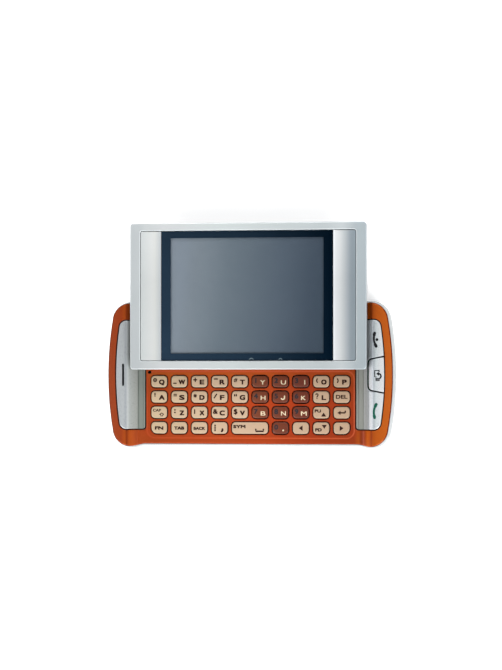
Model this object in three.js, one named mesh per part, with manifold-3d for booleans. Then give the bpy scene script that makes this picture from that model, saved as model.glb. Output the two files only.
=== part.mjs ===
// Slider phone with a full keyboard, shown open. Millimetres, +Z up out of the display.
// The origin is the middle of the lower half's back face, and +X runs along the long side.
// Length is measured along X, depth along Y and height or thickness along Z.

import * as THREE from 'three';
import { mergeVertices } from 'three/addons/utils/BufferGeometryUtils.js';
import Module from 'manifold-3d';

const wasm = await Module();
wasm.setup();

// Fits
const seat = 0.1;
const fit = 0.3;
const seamGap = 0.12;
const overrun = 2;
const blend = 0.2;

// Keyboard
const columns = 10;
const rows = 4;
const rowPitch = 5.71;
const keySpacingX = 1.68;
const keySpacingY = 1.41;
const keySkirtGap = 0.21;
const keySkirtLap = 0.25;
const keySkirtThickness = 0.4;
const keyCorner = 1.35;
const keyOuterFlat = 0.1;
const keyProud = 0.5;
const keyCrownRise = 0.2;
const keyCrownInset = 0.5;
const keyPressRoom = 0.3;
const panelMarginX = 0.95;
const panelMarginY = 1.03;
const panelStep = 0.15;
const panelCorner = 3;

// Display
const displayLength = 56.3;
const displayDepth = 42.3;
const displayRim = 1.2;
const displayThickness = 2.7;
const displayTrayThickness = 1.8;
const windowBorderX = 3.45;
const windowBorderY = 2.75;
const windowShift = -0.3;
const windowThickness = 0.8;
const windowSink = 0.05;
const windowBevel = 0.2;

// Sliding half
const frameBorderTop = 2.8;
const frameBorderBottom = 3.1;
const frameBorderSide = 3.7;
const sliderCorner = 1.2;
const sliderCornerLeast = 0.2;
const sliderUnderRound = 1.7;
const sliderTopBevel = 0.8;
const sliderTopBevelDrop = 0.45;
const sliderWall = 1.35;
const sliderSplitRise = 1.9;
const sliderGap = 0.8;
const sliderOverhang = 0.5;
const sliderToPanel = 0.5;
const fasciaCorner = 0.9;
const fasciaGap = 0.15;
const fasciaPlate = 0.35;
const fasciaLedge = 1.2;
const fasciaLedgeThickness = 0.6;
const stripLength = 8.15;
const stripCrown = 0.25;
const sliderRoof = 0.7;

// Slide rails
const railGrip = 20;
const railInset = 5;
const railPlay = 0.25;
const railSidePlay = 0.35;
const railLip = 1.75;
const railLipThickness = 0.4;
const railSheet = 0.5;
const railRecess = 0.7;
const railSlotLength = 16;
const railSlotDepth = 7;
const railHole = 1.3;
const railHoleInset = 4;

// Lower half
const deckThickness = 1.2;
const deckMarginX = 0.6;
const deckMarginBottom = 2.85;
const channelLength = 2.8;
const channelLip = 0.7;
const channelDrop = 0.45;
const sliderOverlap = 1.45;
const endReach = 10.05;
const endRise = 3.2;
const endThickening = 0.7;
const endThickeningRun = 1;
const crownDrop = 1.1;
const rampUnderlap = 2.25;
const rampOverrun = 2.55;
const waistStep = 0.85;
const cornerRadius = 7.4;
const endRadius = 123;
const frontEdge = 0.9;
const frontInset = 0.8;
const frontRoll = 0.5;
const wall = 1.9;
const floorThickness = 1.6;
const backRound = 3.2;
const backRoundInset = 2.6;
const waistlineHeight = 6.6;
const rearRimInset = 0.7;
const microphoneRadius = 0.65;
const microphoneInsetX = 1.1;
const microphoneInsetY = 0.4;

// Silver ends
const endRingLength = 3.9;
const endRingDepth = 7.2;
const endPlateCorner = 2.6;
const endPlateInnerCorner = 1.1;
const endPlateThickness = 1;
const endPlateGap = 0.25;
const endLedge = 0.8;
const slitLength = 0.55;
const slitDepth = 8;
const slitInset = 2.7;
const endKeyInset = 1.9;
const endKeyThickness = 0.7;
const endKeySeam = 0.15;
const shortcutGap = 0.45;
const shortcutHalfInner = 5.6;
const shortcutHalfOuter = 6.4;
const shortcutCorner = 1.5;
const stemLength = 2.2;
const stemDepth = 4;
const stemInset = 3.1;

// Inside the lower half
const doorThickness = 1;
const doorMargin = 3.4;
const doorCorner = 3;
const doorBevel = 0.3;
const doorGroove = 0.8;
const doorGrooveDepth = 12;
const doorGrooveSink = 0.3;
const doorGrooves = 3;
const doorGroovePitch = 1.8;
const batteryLength = 46;
const batteryDepth = 34;
const batteryThickness = 5;
const batteryCorner = 1.2;
const boardThickness = 0.8;
const boardMarginX = 5.5;
const boardMarginY = 3.4;
const boardCorner = 4.5;
const sheetThickness = 0.8;
const sheetMargin = 0.4;
const sheetTabDepth = 34;
const sheetTabLength = 4.5;
const bossRadius = 1.8;
const bossInset = 4;
const shieldLength = 11;
const shieldDepth = 12;
const shieldThickness = 1.5;
const shieldSpacing = 18;
const socketLength = 7.6;
const socketDepth = 5.4;
const socketThickness = 2.6;
const socketWall = 0.5;
const socketX = 26;
const portGap = 0.3;
const cameraX = 39;
const cameraY = 9.5;
const cameraBody = 8.4;
const cameraBarrel = 3.9;
const cameraLens = 1.9;
const cameraRing = 0.5;
const cameraSink = 0.35;
const cameraLensSink = 0.7;
const speakerSlots = 4;
const speakerSlot = 0.8;
const speakerSlotDepth = 6;
const speakerSlotPitch = 2;
const speakerSpacing = 14;
const earpieceLength = 3.2;
const earpieceDepth = 11;
const earpieceThickness = 2.4;
const rockerX = -22;
const rockerLength = 13.5;
const rockerThickness = 2.4;
const rockerProud = 0.45;
const rockerDepth = 1.9;
const rockerHeight = 5;
const rockerCorner = 0.7;

// Smoothness
const endSteps = 4;
const cornerSteps = 8;
const rampSteps = 8;
const crownSteps = 4;
const keySteps = 3;
const roundSteps = 4;
const backSteps = 3;
const rimSteps = 2;
const edgeSteps = 2;
const lensSteps = 2;
const circleSteps = 20;
const holeSteps = 12;

// Heights of the lower half, stacked from the back face
const batteryBottom = doorThickness + fit;
const boardBottom = batteryBottom + batteryThickness + fit;
const sheetBottom = boardBottom + boardThickness + seat;
const keyBottom = sheetBottom + sheetThickness + keyPressRoom;
const keySkirtTop = keyBottom + keySkirtThickness;
const deckBottom = keySkirtTop + seat;
const deckTop = deckBottom + deckThickness;
const panelTop = deckTop - panelStep;

// Heights of the sliding half, stacked from its underside
const sliderBottom = deckTop + sliderGap;
const movingLipBottom = sliderBottom + seat;
const movingLipTop = movingLipBottom + railLipThickness;
const fixedLipBottom = movingLipTop + railPlay;
const fixedLipTop = fixedLipBottom + railLipThickness;
const movingSheetBottom = fixedLipTop + railPlay;
const movingSheetTop = movingSheetBottom + railSheet;
const pocketRoof = movingSheetTop + seat;
const coverTop = pocketRoof + sliderRoof;
const displayBottom = coverTop + seat;
const displayTop = displayBottom + displayThickness;
const fasciaBottom = displayTop + seat;
const windowBottom = fasciaBottom + fasciaPlate + seat;
const windowTop = windowBottom + windowThickness;
const sliderTop = windowTop + windowSink;
const sliderSplit = sliderBottom + sliderSplitRise;

// Plan sizes
const windowHalfLength = displayLength / 2 + windowBorderX;
const fasciaHalfLength = windowHalfLength + stripLength;
const fasciaDepth = displayDepth + 2 * windowBorderY;
const fasciaY = (frameBorderBottom - frameBorderTop) / 2;
const sliderHalfLength = fasciaHalfLength + frameBorderSide;
const sliderHalfDepth = (fasciaDepth + frameBorderTop + frameBorderBottom) / 2;
const deckHalfLength = sliderHalfLength - sliderOverlap - channelLength;
const panelHalfLength = deckHalfLength - deckMarginX;
const columnPitch = (2 * (panelHalfLength - panelMarginX)) / columns;
const keyLength = columnPitch - keySpacingX;
const keyDepth = rowPitch - keySpacingY;
const keySkirt = (keySpacingY - keySkirtGap) / 2;
const keyGap = keySkirt - keySkirtLap;
const keyOuterCorner = (keyDepth - keyOuterFlat) / 2;
const keyFieldDepth = rows * rowPitch;
const baseHalfWaist = sliderHalfDepth - sliderOverhang;
const baseHalfDepth = baseHalfWaist + waistStep;
const baseHalfLength = sliderHalfLength + endReach;
const panelDepth = keyFieldDepth + 2 * panelMarginY;
const travel = panelDepth + deckMarginBottom + sliderToPanel + sliderOverhang;
const panelTopY = travel - sliderHalfDepth - sliderToPanel;
const rampStart = sliderHalfLength - rampUnderlap;
const rampEnd = sliderHalfLength + rampOverrun;
const railHalfGrip = railGrip / 2;
const railHalfPocket = travel / 2 + railHalfGrip + fit;
const thickeningStart = deckHalfLength - 2 * endThickeningRun;
const thickeningEnd = deckHalfLength - endThickeningRun;
const endPlateReach = baseHalfLength - endRingLength;
const endPlateHalfDepth = baseHalfDepth - endRingDepth;
const endKeyInner = deckHalfLength + channelLength + endKeyInset;

// Materials
const finishes = {
  silver: { color: 0xc9cfd0, roughness: 0.35, metalness: 0.75 },
  orange: { color: 0xc2521f, roughness: 0.38, metalness: 0.35 },
  beige: { color: 0xd8c2a0, roughness: 0.5, metalness: 0 },
  brown: { color: 0x78382c, roughness: 0.5, metalness: 0 },
  steel: { color: 0x9a9c9e, roughness: 0.3, metalness: 1 },
  graphite: { color: 0x2c2e33, roughness: 0.6, metalness: 0 },
  rubber: { color: 0x4a4a4e, roughness: 0.8, metalness: 0 },
  board: { color: 0x1d5a36, roughness: 0.6, metalness: 0 },
  glass: { color: 0x1b2a3c, roughness: 0.08, metalness: 0 },
  screen: { color: 0x66727d, roughness: 0.3, metalness: 0 },
};

// Outlines

function arcPoints(x, y, radius, from, to, steps) {
  return Array.from({ length: steps + 1 }, (_, step) => {
    const angle = from + ((to - from) * step) / steps;
    return new THREE.Vector2(x + radius * Math.cos(angle), y + radius * Math.sin(angle));
  });
}

// Four corners with their own radii, counterclockwise from the lower left one.
function roundedRectangle(length, depth, radii, steps) {
  const signs = [[-1, -1], [1, -1], [1, 1], [-1, 1]];
  return signs.flatMap(([signX, signY], corner) => {
    const radius = radii[corner];
    const x = signX * (length / 2 - radius);
    const y = signY * (depth / 2 - radius);
    const start = Math.PI + (corner * Math.PI) / 2;
    return arcPoints(x, y, radius, start, start + Math.PI / 2, steps);
  });
}

function evenRectangle(length, depth, radius, steps) {
  return roundedRectangle(length, depth, [radius, radius, radius, radius], steps);
}

// A quarter of a bulging end: from the middle of the end to the top of its corner arc.
function bulgingEnd(reach, halfDepth, corner, bulge, inset) {
  const cornerY = halfDepth - corner;
  const bulgeX = reach - bulge;
  const cornerX = bulgeX + Math.sqrt((bulge - corner) ** 2 - cornerY ** 2);
  const meet = Math.atan2(cornerY, cornerX - bulgeX);
  const end = arcPoints(bulgeX, 0, bulge - inset, 0, meet, endSteps);
  const round = arcPoints(cornerX, cornerY, corner - inset, meet, Math.PI / 2, cornerSteps);
  return [...end.slice(0, -1), ...round];
}

// A rounded edge, from the face that it starts at to the wall that it ends in.
function quarterRound(inset, rise, steps) {
  return Array.from({ length: steps + 1 }, (_, step) => {
    const angle = (Math.PI / 2) * (step / steps);
    return { inset: inset * (1 - Math.sin(angle)), rise: rise * (1 - Math.cos(angle)) };
  });
}

function smooth(share) {
  const t = Math.min(Math.max(share, 0), 1);
  return t * t * (3 - 2 * t);
}

// The upper half of the lower half's outline, from the left end to the right end.
function baseOutline(inset) {
  const quarter = bulgingEnd(baseHalfLength, baseHalfDepth, cornerRadius, endRadius, inset).reverse();
  const shoulder = quarter[0].x;
  const waist = [thickeningStart, thickeningEnd].map((x) => new THREE.Vector2(x, baseHalfWaist - inset));
  for (let step = 0; step < rampSteps; step += 1) {
    const x = deckHalfLength + ((shoulder - deckHalfLength) * step) / rampSteps;
    waist.push(new THREE.Vector2(x, baseHalfWaist + waistStep * smooth(step / rampSteps) - inset));
  }
  const right = [...waist, ...quarter];
  const left = right.map(({ x, y }) => new THREE.Vector2(-x, y)).reverse();
  return [...left, ...right];
}

// The outline of a silver end on the right, counterclockwise from its lower inner corner.
function endOutline(inner, innerCorner, inset) {
  const halfDepth = endPlateHalfDepth - inset;
  const top = bulgingEnd(endPlateReach, endPlateHalfDepth, endPlateCorner, endRadius, inset);
  const bottom = top.slice(1).reverse().map(({ x, y }) => new THREE.Vector2(x, -y));
  const cornerX = inner + innerCorner;
  const cornerY = halfDepth - innerCorner;
  const lower = arcPoints(cornerX, -cornerY, innerCorner, Math.PI, 1.5 * Math.PI, roundSteps);
  const upper = arcPoints(cornerX, cornerY, innerCorner, Math.PI / 2, Math.PI, roundSteps);
  return [...lower, ...bottom, ...top, ...upper];
}

// The middle key of the right end, wider at its outer side, with two rounded inner corners.
function shortcutOutline(grow) {
  const inner = endKeyInner - grow;
  const outer = endPlateReach + overrun;
  const corner = shortcutCorner + grow;
  const slope = (shortcutHalfOuter - shortcutHalfInner) / (endPlateReach - endKeyInner - shortcutCorner);
  const halfOuter = shortcutHalfOuter + overrun * slope + grow;
  const halfInner = shortcutHalfInner + grow;
  const round = arcPoints(inner + corner, halfInner - corner, corner, Math.PI / 2, Math.PI, roundSteps);
  const upper = [new THREE.Vector2(outer, halfOuter), ...round];
  return [...upper, ...upper.map(({ x, y }) => new THREE.Vector2(x, -y)).reverse()];
}

// Surface heights of the lower half along X

function riseAt(x) {
  return smooth((Math.abs(x) - rampStart) / (rampEnd - rampStart));
}

function topAt(x) {
  const past = Math.max((Math.abs(x) - rampEnd) / (baseHalfLength - rampEnd), 0);
  return deckTop + endRise * riseAt(x) - crownDrop * past * past;
}

function below(drop) {
  return (x) => topAt(x) - drop;
}

function undersideAt(x) {
  const share = (Math.abs(x) - thickeningStart) / (thickeningEnd - thickeningStart);
  return topAt(x) - deckThickness - endThickening * smooth(share);
}

function seamAt(x) {
  return topAt(x) - frontEdge;
}

// Solids

function solidOf(geometry) {
  const bare = geometry.clone();
  bare.deleteAttribute('normal');
  bare.deleteAttribute('uv');
  const merged = mergeVertices(bare);
  const corners = merged.index.array;
  const kept = [];
  for (let at = 0; at < corners.length; at += 3) {
    const [a, b, c] = corners.slice(at, at + 3);
    if (a !== b && b !== c && c !== a) kept.push(a, b, c);
  }
  const vertProperties = new Float32Array(merged.attributes.position.array);
  return new wasm.Manifold(new wasm.Mesh({ numProp: 3, vertProperties, triVerts: new Uint32Array(kept) }));
}

function geometryOf(solid) {
  const { vertProperties, triVerts } = solid.getMesh();
  const geometry = new THREE.BufferGeometry();
  geometry.setAttribute('position', new THREE.BufferAttribute(vertProperties, 3));
  geometry.setIndex(new THREE.BufferAttribute(triVerts, 1));
  geometry.computeVertexNormals();
  return geometry;
}

function meshGeometry(positions, triangles) {
  const geometry = new THREE.BufferGeometry();
  geometry.setAttribute('position', new THREE.Float32BufferAttribute(positions, 3));
  geometry.setIndex(triangles);
  return geometry;
}

// A solid through outlines of equal point counts, each at its own height.
function stack(levels) {
  const count = levels[0].points.length;
  const positions = levels.flatMap(({ points, z }) => points.flatMap(({ x, y }) => [x, y, z]));
  const triangles = [];
  for (let level = 0; level + 1 < levels.length; level += 1) {
    for (let k = 0; k < count; k += 1) {
      const a = level * count + k;
      const b = level * count + ((k + 1) % count);
      triangles.push(a, b, b + count, a, b + count, a + count);
    }
  }
  const last = (levels.length - 1) * count;
  THREE.ShapeUtils.triangulateShape(levels[0].points, []).forEach(([a, b, c]) => {
    triangles.push(a, c, b, last + a, last + b, last + c);
  });
  return solidOf(meshGeometry(positions, triangles));
}

// A solid through outlines that are mirrored about the X axis, with heights that vary along X.
function surfaceSolid(levels) {
  const count = levels[0].outline.length;
  const positions = [];
  levels.forEach(({ outline, height }) => {
    outline.forEach(({ x, y }) => positions.push(x, y, height(x), x, -y, height(x)));
  });
  const upper = (level, i) => 2 * (level * count + i);
  const lower = (level, i) => upper(level, i) + 1;
  const triangles = [];
  const quad = (a, b, c, d) => triangles.push(a, b, c, a, c, d);
  const top = levels.length - 1;
  for (let i = 0; i + 1 < count; i += 1) {
    quad(upper(top, i), lower(top, i), lower(top, i + 1), upper(top, i + 1));
    quad(upper(0, i), upper(0, i + 1), lower(0, i + 1), lower(0, i));
    for (let level = 0; level < top; level += 1) {
      quad(upper(level, i), upper(level + 1, i), upper(level + 1, i + 1), upper(level, i + 1));
      quad(lower(level, i), lower(level, i + 1), lower(level + 1, i + 1), lower(level + 1, i));
    }
  }
  for (let level = 0; level < top; level += 1) {
    quad(upper(level, 0), lower(level, 0), lower(level + 1, 0), upper(level + 1, 0));
    const end = count - 1;
    quad(upper(level, end), upper(level + 1, end), lower(level + 1, end), lower(level, end));
  }
  return solidOf(meshGeometry(positions, triangles));
}

// Everything between two surfaces of the lower half, over its whole plan.
function loaf(low, high) {
  const stations = [baseHalfLength + overrun];
  for (let step = 0; step <= crownSteps; step += 1) {
    stations.push(baseHalfLength + ((rampEnd - baseHalfLength) * step) / crownSteps);
  }
  for (let step = 1; step <= rampSteps; step += 1) {
    stations.push(rampEnd + ((rampStart - rampEnd) * step) / rampSteps);
  }
  const xs = [...stations.map((x) => -x), ...stations.reverse()];
  const outline = xs.map((x) => new THREE.Vector2(x, baseHalfDepth + overrun));
  return surfaceSolid([{ outline, height: low }, { outline, height: high }]);
}

function prism(points, low, high) {
  const geometry = new THREE.ExtrudeGeometry(new THREE.Shape(points), {
    depth: high - low,
    bevelEnabled: false,
  });
  geometry.translate(0, 0, low);
  return solidOf(geometry);
}

// A section in X and Z, drawn out along Y.
function runAlongY(points, low, high) {
  const geometry = new THREE.ExtrudeGeometry(new THREE.Shape(points), {
    depth: high - low,
    bevelEnabled: false,
  });
  geometry.rotateX(Math.PI / 2);
  geometry.translate(0, high, 0);
  return solidOf(geometry);
}

function block(xLow, xHigh, yLow, yHigh, zLow, zHigh) {
  const geometry = new THREE.BoxGeometry(xHigh - xLow, yHigh - yLow, zHigh - zLow);
  geometry.translate((xLow + xHigh) / 2, (yLow + yHigh) / 2, (zLow + zHigh) / 2);
  return solidOf(geometry);
}

function post(radius, x, y, zLow, zHigh, steps = circleSteps) {
  const geometry = new THREE.CylinderGeometry(radius, radius, zHigh - zLow, steps);
  geometry.rotateX(Math.PI / 2);
  geometry.translate(x, y, (zLow + zHigh) / 2);
  return solidOf(geometry);
}

function joined(solids) {
  return solids.reduce((whole, solid) => whole.add(solid));
}

// Where each key sits, row by row. The space bar takes two columns.
const keyRows = [
  ['q', 'w', 'e', 'r', 't', 'y', 'u', 'i', 'o', 'p'],
  ['a', 's', 'd', 'f', 'g', 'h', 'j', 'k', 'l', 'delete'],
  ['shift', 'z', 'x', 'c', 'v', 'b', 'n', 'm', 'up', 'enter'],
  ['fn', 'tab', 'back', 'comma', 'space', 'space', 'zero', 'left', 'down', 'right'],
];
const brownKeys = ['y', 'u', 'h', 'i', 'j', 'k', 'b', 'n', 'm', 'zero'];

function keyPlaces() {
  const places = [];
  keyRows.forEach((names, row) => {
    const y = panelTopY - panelMarginY - rowPitch / 2 - rowPitch * row;
    [...new Set(names)].forEach((name) => {
      const first = names.indexOf(name);
      const last = names.lastIndexOf(name);
      const x = columnPitch * ((first + last) / 2 - (columns - 1) / 2);
      const length = keyLength + columnPitch * (last - first);
      const bottomRow = row === rows - 1;
      const lowerLeft = bottomRow && first === 0 ? keyOuterCorner : keyCorner;
      const lowerRight = bottomRow && last === columns - 1 ? keyOuterCorner : keyCorner;
      places.push({ name, x, y, length, radii: [lowerLeft, lowerRight, keyCorner, keyCorner] });
    });
  });
  return places;
}

const keys = keyPlaces();

function keyOutline(key, grow) {
  const radii = key.radii.map((radius) => radius + grow);
  return roundedRectangle(key.length + 2 * grow, keyDepth + 2 * grow, radii, keySteps);
}

// A key: a skirt that the deck holds back, a straight cap and a slightly crowned top.
function keySolid(key) {
  return stack([
    { points: keyOutline(key, keySkirt), z: keyBottom - panelTop },
    { points: keyOutline(key, 0), z: keySkirtTop - panelTop },
    { points: keyOutline(key, 0), z: keyProud - keyCrownRise },
    { points: keyOutline(key, -keyCrownInset), z: keyProud },
  ]);
}

// Lower half

function rearCover() {
  const level = (inset, height) => ({ outline: baseOutline(inset), height });
  const backEdge = quarterRound(backRoundInset, backRound, backSteps).map(({ inset, rise }) => {
    return level(inset, () => rise);
  });
  const rim = Array.from({ length: rimSteps + 1 }, (_, step) => {
    const share = step / rimSteps;
    return level(rearRimInset * share ** 2, (x) => waistlineHeight + (seamAt(x) - waistlineHeight) * share);
  });
  const outside = surfaceSolid([...backEdge, ...rim]);
  const inside = surfaceSolid([
    level(wall, () => floorThickness),
    level(wall, (x) => topAt(x) + overrun),
  ]);
  const bosses = bossPlaces().map(({ x, y }) => {
    return post(bossRadius, x, y, floorThickness - blend, boardBottom - seat);
  });
  return outside
    .subtract(inside)
    .add(joined(bosses))
    .subtract(batteryOpening())
    .subtract(post(cameraBarrel + blend, cameraX, cameraY, -overrun, floorThickness + overrun))
    .subtract(loudspeakerSlots())
    .subtract(portOpening())
    .subtract(rockerSlot());
}

// A row of slots beside the camera, through the back.
function loudspeakerSlots() {
  const y = cameraY - speakerSpacing;
  const low = y - speakerSlotDepth / 2;
  const high = y + speakerSlotDepth / 2;
  const slots = Array.from({ length: speakerSlots }, (_, at) => {
    const left = cameraX + speakerSlotPitch * (at - (speakerSlots - 1) / 2) - speakerSlot / 2;
    return block(left, left + speakerSlot, low, high, -overrun, floorThickness + overrun);
  });
  return joined(slots);
}

function bossPlaces() {
  const x = baseHalfLength - boardMarginX - bossInset;
  const y = baseHalfWaist - boardMarginY - bossInset;
  return [[1, 1], [1, -1], [-1, 1], [-1, -1]].map(([signX, signY]) => ({ x: signX * x, y: signY * y }));
}

function batteryOpening() {
  const outline = evenRectangle(batteryLength + 2 * fit, batteryDepth + 2 * fit, batteryCorner, roundSteps);
  const bay = prism(outline, -overrun, floorThickness + blend);
  const rebate = prism(doorOutline(seat), -overrun, doorThickness + seat);
  return bay.add(rebate);
}

function doorOutline(grow) {
  const length = batteryLength + 2 * doorMargin + 2 * grow;
  const depth = batteryDepth + 2 * doorMargin + 2 * grow;
  return evenRectangle(length, depth, doorCorner + grow, roundSteps);
}

function batteryDoor() {
  const plate = stack([
    { points: doorOutline(-doorBevel), z: 0 },
    { points: doorOutline(0), z: doorBevel },
    { points: doorOutline(0), z: doorThickness },
  ]);
  const edge = batteryLength / 2;
  const grooves = Array.from({ length: doorGrooves }, (_, at) => {
    const x = edge - at * doorGroovePitch;
    const half = doorGrooveDepth / 2;
    return block(x - doorGroove, x, -half, half, -overrun, doorGrooveSink);
  });
  return plate.subtract(joined(grooves));
}

function battery() {
  const outline = evenRectangle(batteryLength, batteryDepth, batteryCorner, roundSteps);
  return prism(outline, batteryBottom, batteryBottom + batteryThickness);
}

function portOpening() {
  const halfLength = socketLength / 2 + portGap;
  const low = boardBottom - socketThickness - portGap;
  const outer = -baseHalfDepth - overrun;
  const inner = wall - baseHalfWaist + blend;
  return block(socketX - halfLength, socketX + halfLength, outer, inner, low, boardBottom);
}

function rockerSlot() {
  const half = rockerLength / 2 + fit;
  const low = rockerHeight - rockerThickness / 2 - fit;
  const high = rockerHeight + rockerThickness / 2 + fit;
  const inner = baseHalfWaist - wall - blend;
  return block(rockerX - half, rockerX + half, inner, baseHalfDepth + overrun, low, high);
}

// The rocker is drawn about its own pivot, which stands in the middle of the slot.
function volumeRocker() {
  const outline = evenRectangle(rockerLength, rockerDepth, rockerCorner, roundSteps);
  return prism(outline, -rockerThickness / 2, rockerThickness / 2);
}

function mainBoard() {
  const halfLength = baseHalfLength - boardMarginX;
  const halfDepth = baseHalfWaist - boardMarginY;
  const outline = evenRectangle(2 * halfLength, 2 * halfDepth, boardCorner, roundSteps);
  const board = prism(outline, boardBottom, boardBottom + boardThickness);
  const shieldX = (batteryLength / 2 + halfLength) / 2;
  const shields = [[-1, 1], [-1, -1], [1, -1]].map(([signX, signY]) => {
    const x = signX * shieldX;
    const y = (signY * shieldSpacing) / 2;
    const low = boardBottom - shieldThickness;
    const halfX = shieldLength / 2;
    const halfY = shieldDepth / 2;
    return block(x - halfX, x + halfX, y - halfY, y + halfY, low, boardBottom + blend);
  });
  return board.add(joined(shields)).add(chargingSocket());
}

// The charging socket hangs under the board with its mouth at the port in the rear cover.
function chargingSocket() {
  const half = socketLength / 2;
  const mouth = wall - baseHalfWaist + fit;
  const low = boardBottom - socketThickness;
  const body = block(socketX - half, socketX + half, mouth, mouth + socketDepth, low, boardBottom + blend);
  const inner = half - socketWall;
  const back = mouth + socketDepth - socketWall;
  const top = boardBottom - socketWall;
  const hollow = block(socketX - inner, socketX + inner, mouth - overrun, back, low + socketWall, top);
  return body.subtract(hollow);
}

function keypadSheet() {
  const halfLength = (columns * columnPitch) / 2 - sheetMargin;
  const high = sheetBottom + sheetThickness;
  const top = panelTopY - panelMarginY;
  const field = block(-halfLength, halfLength, top - keyFieldDepth, top, sheetBottom, high);
  const tabEnd = endPlateReach - stemInset + sheetTabLength / 2;
  const halfTab = sheetTabDepth / 2;
  const tab = block(tabEnd - sheetTabLength, tabEnd, -halfTab, halfTab, sheetBottom, high);
  const bridge = block(halfLength - blend, tabEnd - blend, -halfTab, stemDepth - halfTab, sheetBottom, high);
  return joined([field, tab, bridge]);
}

function frontHousing() {
  const level = (inset, height) => ({ outline: baseOutline(inset), height });
  const roll = quarterRound(frontRoll, frontRoll, edgeSteps).reverse().map(({ inset, rise }) => {
    return level(frontInset + inset, below(rise));
  });
  const edge = surfaceSolid([level(frontInset, below(frontEdge - seamGap)), ...roll]);
  const plugInset = wall + seamGap;
  const plug = surfaceSolid([level(plugInset, undersideAt), level(plugInset, below(frontRoll))]);
  const openings = keys.map((key) => {
    const points = keyOutline(key, keyGap).map(({ x, y }) => new THREE.Vector2(x + key.x, y + key.y));
    return prism(points, deckBottom - overrun, deckTop + overrun);
  });
  const microphoneX = microphoneInsetX - panelHalfLength;
  const microphoneY = panelTopY - microphoneInsetY;
  return edge
    .add(plug)
    .subtract(keyPanel())
    .subtract(joined(openings))
    .subtract(railRecessCut())
    .subtract(endPocket(1))
    .subtract(endPocket(-1))
    .subtract(post(microphoneRadius, microphoneX, microphoneY, deckBottom - overrun, deckTop + overrun));
}

// The shallow panel that the four rows of keys share.
function keyPanel() {
  const outline = evenRectangle(2 * panelHalfLength, panelDepth, panelCorner, roundSteps);
  const placed = outline.map(({ x, y }) => new THREE.Vector2(x, y + panelTopY - panelDepth / 2));
  return prism(placed, panelTop, deckTop + overrun);
}

function railRecessCut() {
  const halfLength = sliderHalfLength - railInset - railSidePlay - railSheet - railLip + seat;
  const low = travel / 2 - railHalfGrip - blend;
  const high = travel / 2 + railHalfGrip + blend;
  return block(-halfLength, halfLength, low, high, deckTop - railRecess, deckTop + overrun);
}

function mirrored(points, side) {
  return points.map(({ x, y }) => new THREE.Vector2(x * side, y));
}

// A pocket for a silver end, with a ledge round three sides and an opening inside it.
function endPocket(side) {
  const inner = deckHalfLength - endPlateGap;
  const pocket = mirrored(endOutline(inner, endPlateInnerCorner, -endPlateGap), side);
  const opening = mirrored(endOutline(inner + seat, endPlateInnerCorner, endLedge), side);
  const high = deckTop + endRise + overrun;
  const floor = loaf(below(endPlateThickness + seat), () => high);
  return prism(pocket, 0, high).intersect(floor).add(prism(opening, 0, high));
}

// The silver skin of an end: its plan, its curved top and the channel beside the deck.
function endSkin(side) {
  const outline = mirrored(endOutline(deckHalfLength, endPlateInnerCorner, 0), side);
  const high = deckTop + endRise + overrun;
  const skin = prism(outline, 0, high).intersect(loaf(below(endPlateThickness), topAt));
  const near = deckHalfLength + channelLip;
  const far = deckHalfLength + channelLength;
  const [low, up] = side > 0 ? [near, far] : [-far, -near];
  return skin.subtract(block(low, up, -baseHalfDepth, baseHalfDepth, deckTop - channelDrop, high));
}

function leftEndPlate() {
  const slitX = slitInset - endPlateReach;
  const halfX = slitLength / 2;
  const halfY = slitDepth / 2;
  const slit = block(slitX - halfX, slitX + halfX, -halfY, halfY, 0, deckTop + endRise + overrun);
  return endSkin(-1).subtract(slit);
}

function rightEndStrip() {
  const high = deckTop + endRise + overrun;
  const edge = endKeyInner - endKeySeam;
  return endSkin(1).intersect(block(0, edge, -baseHalfDepth, baseHalfDepth, 0, high));
}

function keyStem(y) {
  const x = endPlateReach - stemInset;
  const halfX = stemLength / 2;
  const halfY = stemDepth / 2;
  const high = topAt(x - halfX) - endKeyThickness / 2;
  return block(x - halfX, x + halfX, y - halfY, y + halfY, keyBottom, high);
}

// The end and call keys fill the silver end above and below the shortcut key.
function outerKey(side) {
  const high = deckTop + endRise + overrun;
  const outline = endOutline(endKeyInner, seat, 0);
  const field = prism(outline, 0, high).intersect(loaf(below(endKeyThickness), topAt));
  const middle = prism(shortcutOutline(shortcutGap), 0, high);
  const [low, up] = side > 0 ? [0, baseHalfDepth] : [-baseHalfDepth, 0];
  const half = field.subtract(middle).intersect(block(0, baseHalfLength, low, up, 0, high));
  const stemY = (side * (endPlateHalfDepth + shortcutHalfOuter)) / 2;
  return half.add(keyStem(stemY));
}

function shortcutKey() {
  const high = deckTop + endRise + overrun;
  const field = prism(endOutline(endKeyInner, seat, 0), 0, high);
  const plate = field.intersect(loaf(below(endKeyThickness), topAt));
  return plate.intersect(prism(shortcutOutline(0), 0, high)).add(keyStem(0));
}

function earpiece() {
  const x = slitInset - endPlateReach;
  const halfX = earpieceLength / 2;
  const halfY = earpieceDepth / 2;
  const high = topAt(x + halfX) - endPlateThickness - fit;
  return block(x - halfX, x + halfX, -halfY, halfY, high - earpieceThickness, high);
}

// A square sensor body with a turned barrel whose lens lies in a recess.
function cameraModule() {
  const half = cameraBody / 2;
  const bodyLow = floorThickness + seat;
  const body = block(-half, half, -half, half, bodyLow, boardBottom - seat);
  const lens = Array.from({ length: lensSteps + 1 }, (_, step) => {
    const share = step / lensSteps;
    return [cameraLens * share, cameraLensSink + cameraRing * share ** 2];
  });
  const profile = [
    ...lens,
    [cameraLens + cameraRing, cameraSink],
    [cameraBarrel, cameraSink],
    [cameraBarrel, bodyLow + blend],
    [0, bodyLow + blend],
  ].map(([radius, height]) => new THREE.Vector2(radius, height));
  const barrel = new THREE.LatheGeometry(profile, circleSteps);
  barrel.rotateX(Math.PI / 2);
  return body.add(solidOf(barrel));
}

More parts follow.
